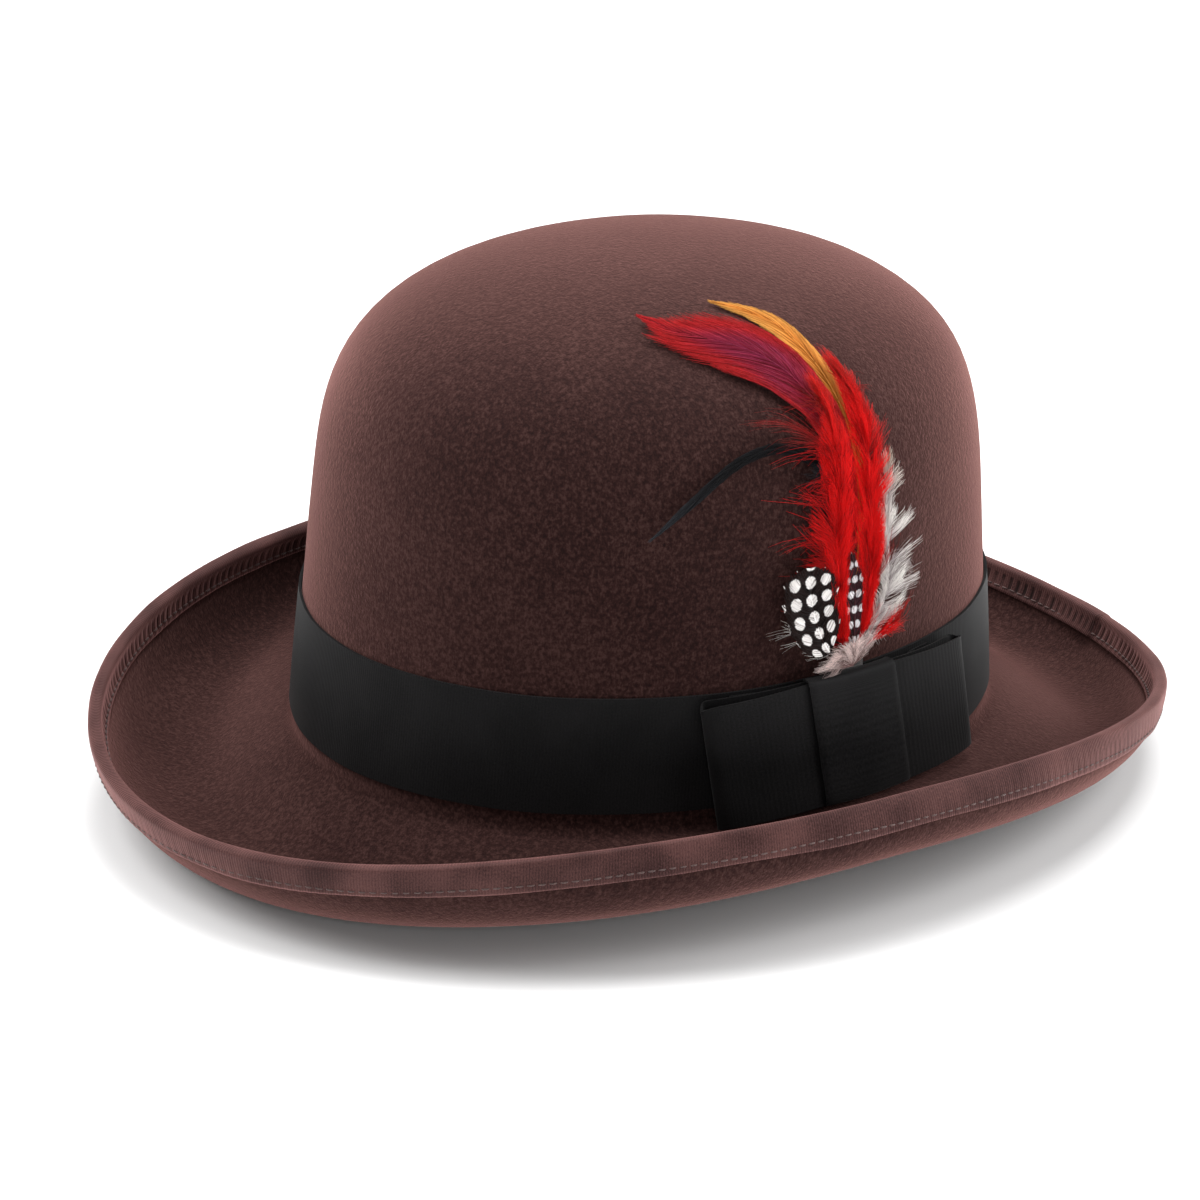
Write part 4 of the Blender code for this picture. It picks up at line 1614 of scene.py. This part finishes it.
@dataclass
class Feather:
    """One feather that follows the crown: a shaft with barbs on both sides.

    Stations are a turn, a height and the feather's width there. Sweep is how far a barb's tip is
    ahead of its root for each millimetre that it reaches out, and fluff is how far tips stray
    off the crown and along it. Bare is the share of the shaft without barbs, overrun is how far
    they go past its tip, and taper is how much of its thickness a barb loses. Layers are a
    pitch apart, and the lowest is at back. Arc, turn, height and width are worked out at points
    along the shaft, and the steps are a sideways millimetre's turn and height there.
    """

    name: str
    node: str
    slot: str
    finish: FeatherFinish
    layer: float
    stations: tuple[Station, ...]
    barbs: int
    sweep: float = 2.2
    fluff: float = 0.25
    thick: float = 0.2
    bare: float = 0.0
    shaft: float = 0.35
    spans: int = 5
    overrun: float = 1.5
    seed: int = 1
    taper: float = 0.75
    pitch: float = 0.65
    back: float = 1.1
    arc: Points = field(init=False, repr=False)
    turn: Points = field(init=False, repr=False)
    height: Points = field(init=False, repr=False)
    width: Points = field(init=False, repr=False)
    turn_step: Points = field(init=False, repr=False)
    height_step: Points = field(init=False, repr=False)

    def __post_init__(self) -> None:
        """Work out the shaft's line and the surface directions along it."""
        path = smooth_path(self.stations, 12)
        turn, height, width = path.T
        points = BLOCK.crown(turn, height)
        steps = np.linalg.norm(np.diff(points, axis=0), axis=1) / MM
        self.arc = np.concatenate([[0.0], np.cumsum(steps)])
        self.turn, self.height, self.width = turn, height, width
        across, upward = BLOCK.slopes(turn, height)
        tangent = np.gradient(points, axis=0)
        side = np.cross(tangent, BLOCK.outward(turn, height))
        side = side / np.linalg.norm(side, axis=-1, keepdims=True) * MM
        self.turn_step = (side * across).sum(-1) / (across ** 2).sum(-1)
        self.height_step = (side * upward).sum(-1) / (upward ** 2).sum(-1)

    @property
    def length(self) -> float:
        """Length of the shaft."""
        return float(self.arc[-1])

    def along(self, values: Points, arc: Points) -> Points:
        """A value at a distance along the shaft, carried straight on past its tip."""
        slope = (values[-1] - values[-3]) / (self.arc[-1] - self.arc[-3])
        return np.interp(arc, self.arc, values) + np.maximum(arc - self.length, 0.0) * slope

    def spot(self, arc: Points, across: Points, lift: Points) -> tuple[Points, Points]:
        """Point and outward direction at a place on the feather.

        Args:
            arc: Distance along the shaft.
            across: Distance to the side of it.
            lift: Distance off the feather's own layer.

        Returns:
            The points and the directions.
        """
        turn = self.along(self.turn, arc) + across * np.interp(arc, self.arc, self.turn_step)
        height = self.along(self.height, arc) + across * np.interp(arc, self.arc, self.height_step)
        height = np.minimum(height, BLOCK.height - 0.5)
        standoff = np.maximum(self.back + self.layer * self.pitch + lift, 0.4)
        return BLOCK.on_crown(turn, height, standoff), BLOCK.outward(turn, height)

    def barb_paths(self, rng: np.random.Generator) -> tuple[Points, Points, Points, Points]:
        """Where every barb goes on a vane.

        Args:
            rng: Source of the barbs' small differences.

        Returns:
            Distance along, distance across and lift as barbs x stations, and each barb's shade.
        """
        share = np.linspace(0.0, 1.0, self.spans + 1)[None]
        count = self.barbs
        root = np.sort(rng.uniform(self.bare, 1.0, count))[:, None] * self.length
        side = np.where(np.arange(count) % 2 == 0, -1.0, 1.0)[:, None]
        sweep = self.sweep * (1.0 + rng.normal(0.0, 0.05 + 0.12 * self.fluff, (count, 1)))
        sweep = sweep * (1.0 + 2.2 * (root / self.length) ** 6)
        reach = np.interp(root, self.arc, self.width) * 0.5
        for _ in range(24):  # each pass settles the barbs' tips nearer the outline
            tip = root + reach * sweep
            reach = 0.7 * reach + 0.15 * np.interp(tip, self.arc, self.width)
        reach = np.maximum(reach * (1.0 + rng.normal(0.0, 0.05 + 0.25 * self.fluff, (count, 1))), 0.15)
        last = self.length + self.overrun * rng.uniform(0.0, 1.0, (count, 1))
        ahead = np.maximum(np.minimum(reach * sweep, last - root), 0.3)
        arc = root + ahead * share
        across = side * reach * (1.0 - (1.0 - share) ** 1.45)
        wave = rng.normal(0.0, 1.0, (count, 1)) * np.sin(share * 2.6 + rng.uniform(0, 6, (count, 1)))
        across = across + wave * share * self.fluff * 0.5
        lift = 0.12 * side * share + rng.normal(0.0, 0.12, (count, 1))
        lift = lift + np.abs(rng.normal(0.0, self.fluff, (count, 1))) * share ** 1.6
        return arc, across, lift, rng.uniform(0.0, 1.0, (count, 1))

    def build(self) -> None:
        """Build the feather's barbs and shaft as one piece, and dress it."""
        rng = np.random.default_rng(self.seed)
        arc, across, lift, shade = self.barb_paths(rng)
        centres, normals = self.spot(arc, across, lift)
        share = np.linspace(0.0, 1.0, self.spans + 1)[None]
        wide = self.thick * (1.0 - self.taper * share ** 1.5) * rng.uniform(0.7, 1.25, shade.shape)
        widest = self.arc[np.argmax(self.width)]
        spread = self.width.max() / np.interp(np.minimum(arc, widest), self.arc, self.width)
        spread = np.where(arc < widest, np.minimum(spread, 1.7), 1.0)
        uv = np.stack([across * spread, arc], -1)
        barbs = Bench.sweep(self.name, 3, centres, normals, wide, wide * 0.5, uv, shade=shade,
                            reach=share, station=arc / self.length)
        shaft = self.build_shaft()
        Bench.clear()
        shaft.select_set(True)
        barbs.select_set(True)
        bpy.context.view_layer.objects.active = barbs
        bpy.ops.object.join()
        Bench.dress(barbs, self.finish.make())
        Bench.fit(barbs, MOUNT, self.slot, [self.node])

    def build_shaft(self) -> bpy.types.Object:
        """Tapered shaft along the feather's middle.

        Returns:
            The shaft.
        """
        stations = 33
        arc = np.linspace(0.0, self.length * 0.98, stations)[None]
        centres, normals = self.spot(arc, np.zeros_like(arc), np.full_like(arc, 0.2))
        wide = self.shaft * np.linspace(1.0, 0.15, stations)[None]
        uv = np.stack([np.zeros_like(arc), arc], -1)
        return Bench.sweep(self.name + "_shaft", 6, centres, normals, wide, wide * 0.8, uv,
                           shade=np.full((1, 1), 0.9), reach=np.full((1, 1), 0.3),
                           station=arc / self.length)


@dataclass
class Plume(Feather):
    """Loose plume, whose long soft barbs hang together in clumps and have no vane.

    Reach is how far a barb goes along the plume, and stray the share of clumps that stand out.
    Roots is the part of the shaft that holds barbs, lean gives each side's share of the width,
    and wisps each side's share of barbs that hang loose, out to wisp_reach past the width.
    """

    clumps: int = 110
    reach: tuple[float, float] = (8.0, 15.0)
    depth: float = 1.6
    stray: float = 0.12
    lean: tuple[float, float] = (1.0, 1.0)
    roots: tuple[float, float] = (0.0, 0.92)
    wisps: tuple[float, float] = (0.02, 0.02)
    wisp_reach: float = 8.0

    def barb_paths(self, rng: np.random.Generator) -> tuple[Points, Points, Points, Points]:
        """Where every barb goes in a loose plume; as for a vane.

        Args:
            rng: Source of the barbs' small differences.

        Returns:
            Distance along, distance across and lift as barbs x stations, and each barb's shade.
        """
        share = np.linspace(0.0, 1.0, self.spans + 1)[None]
        count = self.barbs
        clump = rng.integers(0, self.clumps, count)

        def of_clump(low: float, high: float) -> Points:
            """A number between two ends that all barbs of a clump share."""
            return rng.uniform(low, high, self.clumps)[clump][:, None]

        def own(size: float) -> Points:
            """A small number of a barb's own."""
            return rng.normal(0.0, size, (count, 1))

        root = of_clump(*self.roots) * self.length + own(1.0)
        root = np.clip(root, 0.0, self.length)
        side = of_clump(-1.0, 1.0)
        wild = of_clump(0.0, 1.0) < self.stray
        lean = np.where(side < 0.0, self.lean[0], self.lean[1])
        ahead = of_clump(*self.reach) * np.where(wild, 0.8, 1.0) * (1.0 + own(0.20))
        last = self.length + self.overrun * rng.uniform(-1.0, 1.0, (count, 1))
        ahead = np.maximum(np.minimum(np.abs(ahead), last - root), 0.5)
        width = np.interp(root + ahead, self.arc, self.width) * 0.5 * lean
        loose = (of_clump(0.0, 1.0) < np.where(side < 0.0, *self.wisps))
        loose = loose & (rng.uniform(0.0, 1.0, (count, 1)) < 0.55)
        out = side * width * np.where(wild, 1.5, 1.05) + own(0.5)
        past = self.wisp_reach * of_clump(0.2, 1.0) * np.abs(own(0.45) + 0.6)
        stray = np.sign(side) * (width + past)
        out = np.where(loose, stray, out)
        bend = np.where(loose, of_clump(0.8, 1.2), of_clump(0.6, 1.5))
        arc = root + ahead * share * np.where(loose, of_clump(0.6, 1.3), 1.0)
        arc = arc - np.where(loose, of_clump(-1.0, 7.0), 0.0) * share ** 2.4
        curl = of_clump(-1.0, 1.0) * 1.2 + own(0.5)
        across = out * share ** bend + curl * np.sin(share * math.pi) * 0.5
        across = across + own(0.35) * np.sin(share * 6.0)
        rise = self.depth * of_clump(0.0, 1.0) ** 1.5 * np.clip(1.2 - np.abs(side), 0.2, 1.0)
        lift = rise * np.sin(share * 2.2) + own(0.15) + share * of_clump(-0.4, 0.8)
        # The clump's shade value dims its barbs in the finish: random tone that also stands in for
        # painted shade between the clumps.
        shade = np.clip(0.75 * of_clump(0.0, 1.0) + 0.25 + own(0.18), 0.0, 1.0)
        shade = np.where(loose, shade * 0.3, shade)
        return arc, across, lift, shade


@dataclass
class FeatherMount:
    """Feathers bound together at their quills, which slip behind the bow."""

    foot: float = 47.0
    quill_low: float = 10.0
    quill_high: float = 45.5
    quill_turns: tuple[float, ...] = (0.9, 2.0, 3.1, 4.2, 5.3)
    quill_standoff: float = 2.6
    thread_turns: int = 46

    def feathers(self) -> tuple[Feather, ...]:
        """The mount's feathers, from the one next to the crown outwards.

        Returns:
            The feathers.
        """
        foot = self.foot
        red = FeatherFinish("scarlet_barbs", (0.42, 0.0012, 0.0015), (0.84, 0.008, 0.008),
                            (0.26, 0.020, 0.014), Marking.TIPPED, sheen=0.02)
        wispy = FeatherFinish("dark_red_wisps", (0.16, 0.004, 0.005), (0.30, 0.016, 0.014),
                              sheen=0.02)
        crimson = FeatherFinish("crimson_hackle_barbs", (0.26, 0.007, 0.013),
                                (0.50, 0.018, 0.020), (0.16, 0.016, 0.056), Marking.CENTRE)
        golden = FeatherFinish("golden_hackle_barbs", (0.56, 0.18, 0.024), (0.78, 0.38, 0.085))
        # The grey mark towards this feather's tip is a painted highlight.
        black = FeatherFinish("black_hackle_barbs", (0.0012, 0.0012, 0.0015), (0.009, 0.009, 0.0105),
                              (0.045, 0.048, 0.056), Marking.TIPPED, sheen=0.02)
        pale = FeatherFinish("cream_grizzly_barbs", (0.40, 0.34, 0.35), (1.00, 0.97, 0.92),
                             (0.42, 0.27, 0.17), Marking.TIPPED, sheen=0.1)
        guinea = FeatherFinish("spotted_guinea_barbs", (0.008, 0.004, 0.0035),
                               (0.020, 0.010, 0.009), (0.95, 0.92, 0.90), Marking.SPOTTED,
                               (4.6, 5.2))
        slim = FeatherFinish("spotted_slim_barbs", (0.030, 0.010, 0.014), (0.06, 0.016, 0.02),
                             (0.85, 0.82, 0.84), Marking.SPOTTED, (2.4, 4.4), 0.95, 0.5)
        down = FeatherFinish("grey_brown_down", (0.12, 0.035, 0.032), (0.96, 0.78, 0.74))
        return (
            Feather("golden_hackle_feather", "golden_hackle", "golden_feather", golden, 0.0,
                    ((4.6, foot, 4), (5.8, 80, 5), (6.2, 104, 5.5), (6.2, 114, 5.8),
                     (6.0, 121, 6.4), (4.9, 126.7, 7.0), (1.8, 128.9, 5.6), (-2.8, 130.2, 3.2),
                     (-9.2, 131.2, 0.4)),
                    barbs=1500, sweep=4.6, fluff=0.05, seed=11, bare=0.25, thick=0.14),
            Feather("red_hackle_feather", "red_hackle", "red_feather", crimson, 1.0,
                    ((3.6, foot, 4), (3.4, 80, 6), (2.8, 102, 8), (1.8, 110.8, 10),
                     (-0.2, 115.8, 12), (-2.2, 119.6, 15.5), (-5.6, 122.7, 18), (-10.7, 125, 18),
                     (-18.2, 126.6, 14.7), (-26.4, 127.9, 9.0), (-31.4, 128.9, 3.2),
                     (-37.2, 129.8, 0.3)),
                    barbs=2800, sweep=3.4, fluff=0.14, seed=12, bare=0.2, thick=0.13),
            Feather("black_hackle_feather", "black_hackle", "black_feather", black, 2.0,
                    ((2.6, foot, 4), (1.8, 80, 4), (0.4, 95, 4.5), (-2.7, 100.6, 3.6),
                     (-7.3, 103.7, 2.8), (-11.2, 104.5, 2.6), (-17.7, 101.5, 2.6),
                     (-24.8, 93.3, 2.2), (-31.0, 84.5, 0.5)),
                    barbs=900, sweep=6.0, fluff=0.10, seed=13, bare=0.25, thick=0.12),
            Plume("grizzly_hackle_feather", "grizzly_hackle", "pale_feather", pale, 3.0,
                  ((6.4, foot + 0.6, 3.2), (8.6, 52.6, 7), (10.4, 58.9, 12), (11.0, 65.7, 13),
                   (11.0, 75.3, 11.3), (11.0, 84, 8), (11.4, 91.9, 6), (12.4, 98, 4)),
                  barbs=1500, fluff=0.5, seed=14, thick=0.085, clumps=70, reach=(3.0, 7.0),
                  lean=(0.5, 1.5), stray=0.35, depth=1.2, roots=(0.0, 0.93), wisps=(0.0, 0.15),
                  wisp_reach=3.0, shaft=0.25),
            Plume("rear_scarlet_plume", "rear_plume", "red_feather", red, 4.0,
                  ((3.9, foot, 1.6), (5.8, 54.4, 3.6), (6.5, 61.5, 4.8), (6.9, 68.6, 6.8),
                   (6.8, 78.4, 10), (6.9, 86, 10.6), (7.2, 94, 11.2), (7.8, 103, 11.6),
                   (8.2, 112, 7.5), (7.8, 120, 2.5)),
                  barbs=4200, seed=15, thick=0.085, overrun=4.0, clumps=150, stray=0.16,
                  reach=(6.0, 12.0), roots=(0.0, 0.93), depth=2.2, wisps=(0.0, 0.08),
                  wisp_reach=5.0),
            Plume("front_scarlet_plume", "front_plume", "red_feather", red, 5.0,
                  ((1.6, foot, 1.2), (0.9, 56.9, 2.4), (0.4, 64.3, 4.6), (0.2, 71.6, 6.8),
                   (0.0, 78.8, 9.8), (0.2, 87.7, 11.0), (0.7, 97, 9.8), (1.2, 104, 8.5),
                   (1.4, 112, 4.5), (0.8, 116, 1.5)),
                  barbs=4800, seed=16, thick=0.085, overrun=4.0, clumps=170, stray=0.2,
                  reach=(6.0, 12.0), lean=(1.12, 1.0), roots=(0.0, 0.93), depth=2.2,
                  wisps=(0.30, 0.0), wisp_reach=14.0),
            Plume("front_plume_wisps", "front_plume", "red_feather", wispy, 3.5,
                  ((1.4, 98, 3), (-2.0, 105.0, 6), (-8.0, 109.0, 9), (-15.0, 109.0, 9)),
                  barbs=64, seed=21, thick=0.05, shaft=0.06, clumps=14, reach=(14.0, 28.0),
                  roots=(0.0, 0.3), stray=0.5, depth=0.8, overrun=3.0),
            Plume("black_hackle_base_barbs", "black_hackle", "black_feather", black, 3.2,
                  ((1.0, 84, 6), (-0.5, 92, 11), (-2.0, 99, 10)),
                  barbs=260, seed=22, thick=0.075, shaft=0.06, clumps=26, reach=(3.0, 8.0),
                  roots=(0.1, 0.9), stray=0.4, lean=(1.5, 0.2), overrun=2.0),
            Plume("broad_guinea_base_barbs", "broad_guinea_feather", "spotted_feather", pale, 5.2,
                  ((-1.4, 46.0, 7), (-2.8, 49.6, 12), (-4.4, 55.5, 15), (-5.2, 61.5, 16)),
                  barbs=170, seed=23, thick=0.08, shaft=0.1, clumps=34, reach=(2.0, 5.5),
                  roots=(0.0, 0.85), stray=0.15, lean=(1.14, 0.3), depth=0.2, overrun=1.0),
            Feather("slim_guinea_barbs", "slim_guinea_feather", "spotted_feather", slim, 6.0,
                    ((3.2, foot, 3), (3.2, 56, 4.6), (3.2, 66, 4.6), (2.8, 73.5, 0.8)),
                    barbs=300, sweep=2.0, fluff=0.08, seed=17, thick=0.2),
            Feather("broad_guinea_barbs", "broad_guinea_feather", "spotted_feather", guinea, 7.0,
                    ((-1.4, foot, 7), (-2.6, 50.2, 10), (-3.6, 54.3, 12.4), (-4.5, 59.3, 14.2),
                     (-5.1, 65.3, 14.4), (-5.3, 70.1, 12), (-5.3, 73.0, 3)),
                    barbs=1100, sweep=0.95, fluff=0.05, seed=18, thick=0.2, taper=0.35,
                    overrun=0.2),
            Plume("red_tuft_barbs", "red_tuft", "red_feather", red, 7.0,
                  ((4.8, foot - 0.6, 3), (8.6, 49.6, 8), (12.6, 51.2, 9)),
                  barbs=130, seed=19, thick=0.08, clumps=12, reach=(6.0, 11.0), stray=0.5,
                  overrun=5.0, wisps=(0.3, 0.3), wisp_reach=3.0),
            Plume("down_tuft_barbs", "down_tuft", "down", down, 9.0,
                  ((2.2, 42.6, 14), (1.9, 46, 17), (1.4, 49.5, 10)),
                  barbs=1000, seed=20, thick=0.08, shaft=0.2, clumps=52, reach=(3.0, 7.0),
                  roots=(0.0, 0.55), stray=0.3, depth=1.2, wisps=(0.15, 0.15), wisp_reach=3.0),
        )

    def build_quills(self) -> None:
        """Bare quills in the pocket behind the bow, and the thread wound round them."""
        height = np.linspace(self.quill_low, self.quill_high + 1.5, 25)[None]
        turn = np.array(self.quill_turns)[:, None] + np.zeros_like(height)
        grow = np.clip((height - self.quill_low) / (self.quill_high - self.quill_low), 0, 1)
        rise = height + np.zeros_like(turn)
        centres = BLOCK.on_crown(turn, rise, np.full_like(turn, self.quill_standoff))
        normals = BLOCK.outward(turn, rise)
        wide = 0.55 + 0.35 * grow + np.zeros_like(turn)
        quills = Bench.sweep("feather_quills", 8, centres, normals, wide, wide)
        horn = FeatherFinish("horn_quills", (0.42, 0.34, 0.24), (0.6, 0.5, 0.38))
        Bench.dress(quills, horn.make())
        Bench.fit(quills, MOUNT, "pale_feather", [])

        around = np.linspace(0.0, math.tau, 25)[None]
        level = np.linspace(self.quill_low + 4.0, self.quill_high, self.thread_turns)[:, None]
        rise = level + 0.5 * (self.quill_high - self.quill_low) / self.thread_turns * np.sin(around)
        span = 0.5 * (self.quill_turns[-1] - self.quill_turns[0]) + 0.75
        middle = 0.5 * (self.quill_turns[-1] + self.quill_turns[0])
        spread = middle + span * np.cos(around) + np.zeros_like(rise)
        standoff = self.quill_standoff + 1.1 * np.sin(around) + np.zeros_like(rise)
        paths = BLOCK.on_crown(spread, rise, standoff)
        inner = BLOCK.on_crown(np.full_like(rise, middle), rise,
                               np.full_like(rise, self.quill_standoff))
        normals = paths - inner
        normals = normals / np.linalg.norm(normals, axis=-1, keepdims=True)
        winding = Bench.sweep("quill_winding", 6, paths, normals, 0.38, 0.2)
        Bench.weld(winding)
        Bench.dress(winding, QUILL_THREAD.make())
        Bench.fit(winding, MOUNT, "quill_thread", ["quill_wrap"])

    def build(self) -> None:
        """Build the quills and every feather."""
        self.build_quills()
        for feather in self.feathers():
            feather.build()


# ---------------------------------------------------------------- studio

def bearing(azimuth: float, elevation: float) -> Vector:
    """Direction from the hat at degrees round from its front and up from the floor."""
    turn, rise = math.radians(azimuth), math.radians(elevation)
    return Vector((math.sin(turn) * math.cos(rise), -math.cos(turn) * math.cos(rise), math.sin(rise)))


@dataclass(frozen=True)
class SoftLight:
    """Rectangular light that faces the hat: degrees, metres and watts."""

    name: str
    azimuth: float
    elevation: float
    distance: float
    size: tuple[float, float]
    power: float

    def build(self, target: Vector) -> None:
        """Hang the light.

        Args:
            target: The point that it faces.
        """
        back = bearing(self.azimuth, self.elevation)
        data = bpy.data.lights.new(self.name, "AREA")
        data.shape = "RECTANGLE"
        data.size, data.size_y = self.size
        data.energy = self.power
        light = bpy.data.objects.new(self.name, data)
        facing = back.to_track_quat("Z", "Y").to_matrix().to_4x4()
        light.matrix_world = Matrix.Translation(target + back * self.distance) @ facing
        bpy.context.scene.collection.objects.link(light)


@dataclass
class Studio:
    """Plain pale floor, soft lights and the camera."""

    azimuth: float = 55.41
    elevation: float = 22.87
    roll: float = 1.58
    distance: float = 1.6154
    aim: Axes = (-0.0010, -0.0123, 0.0534)
    lens: float = 170.45
    sensor: float = 36.0
    ambient: float = 0.25
    floor_size: float = 3.2
    light_target: Axes = (0.0, 0.0, 0.07)
    lights: tuple[SoftLight, ...] = (
        SoftLight("left_window", -35.0, 46.0, 1.5, (0.9, 1.2), 20.0),
        SoftLight("right_window", 142.0, 34.0, 1.5, (0.9, 1.2), 16.5),
        SoftLight("ceiling", 215.0, 74.0, 1.8, (1.3, 1.3), 38.0),
        SoftLight("front_card", 60.0, 20.0, 2.0, (0.5, 0.5), 7.0),
    )

    def build_floor(self) -> None:
        """Pale floor."""
        low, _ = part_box("felt_body")
        Bench.clear()
        bpy.ops.mesh.primitive_plane_add(size=self.floor_size,
                                         location=(0.0, 0.0, low.z - 0.3 * MM))
        floor = bpy.context.object
        floor.name = floor.data.name = "studio_floor"
        graph = Graph("pale_floor")
        cloud = graph.noise(graph.coordinates("Object"), 0.6, 2.0)
        base = graph.mix(cloud, (0.90, 0.90, 0.90), (0.93, 0.93, 0.93))
        Bench.dress(floor, graph.dress(Base_Color=base, Roughness=0.9, Specular_IOR_Level=0.1))

    def build_world(self) -> None:
        """Even white surroundings, dimmer as a light than as a background."""
        world = bpy.data.worlds.new("studio_white")
        world.use_nodes = True
        tree = world.node_tree
        soft = tree.nodes["Background"]
        soft.inputs[0].default_value = (1.0, 1.0, 1.0, 1.0)
        seen = tree.nodes.new("ShaderNodeLightPath").outputs["Is Camera Ray"]
        level = tree.nodes.new("ShaderNodeMapRange")
        level.inputs["To Min"].default_value = self.ambient
        tree.links.new(seen, level.inputs["Value"])
        tree.links.new(level.outputs[0], soft.inputs[1])
        bpy.context.scene.world = world

    def build_camera(self) -> None:
        """Camera at the hat's three-quarter view from the wearer's left and front."""
        back = bearing(self.azimuth, self.elevation)
        turn = math.radians(self.azimuth)
        right = Vector((math.cos(turn), math.sin(turn), 0.0))
        up = back.cross(right)
        roll = math.radians(self.roll)
        axis_x = right * math.cos(roll) + up * math.sin(roll)
        axis_y = up * math.cos(roll) - right * math.sin(roll)
        basis = Matrix((axis_x, axis_y, back)).transposed().to_4x4()
        data = bpy.data.cameras.new("studio_camera")
        data.lens = self.lens
        data.sensor_width = self.sensor
        data.clip_end = 50.0
        camera = bpy.data.objects.new("studio_camera", data)
        camera.matrix_world = Matrix.Translation(Vector(self.aim) + back * self.distance) @ basis
        bpy.context.scene.collection.objects.link(camera)
        bpy.context.scene.camera = camera

    def build(self) -> None:
        """Set up the studio."""
        self.build_floor()
        self.build_world()
        self.build_camera()
        for light in self.lights:
            light.build(Vector(self.light_target))
        bpy.context.scene.view_settings.view_transform = "Standard"


def main() -> None:
    """Build the studio, then the hat's sub-assemblies in order."""
    logging.basicConfig(level=logging.INFO, format="%(name)s %(message)s")
    Studio().build()
    for assembly in (FeltBody(), BrimBinding(), HatBand(), SideBow(), Inside(), FeatherMount()):
        LOG.info("building %s", type(assembly).__name__)
        assembly.build()


if __name__ == "__main__":
    main()
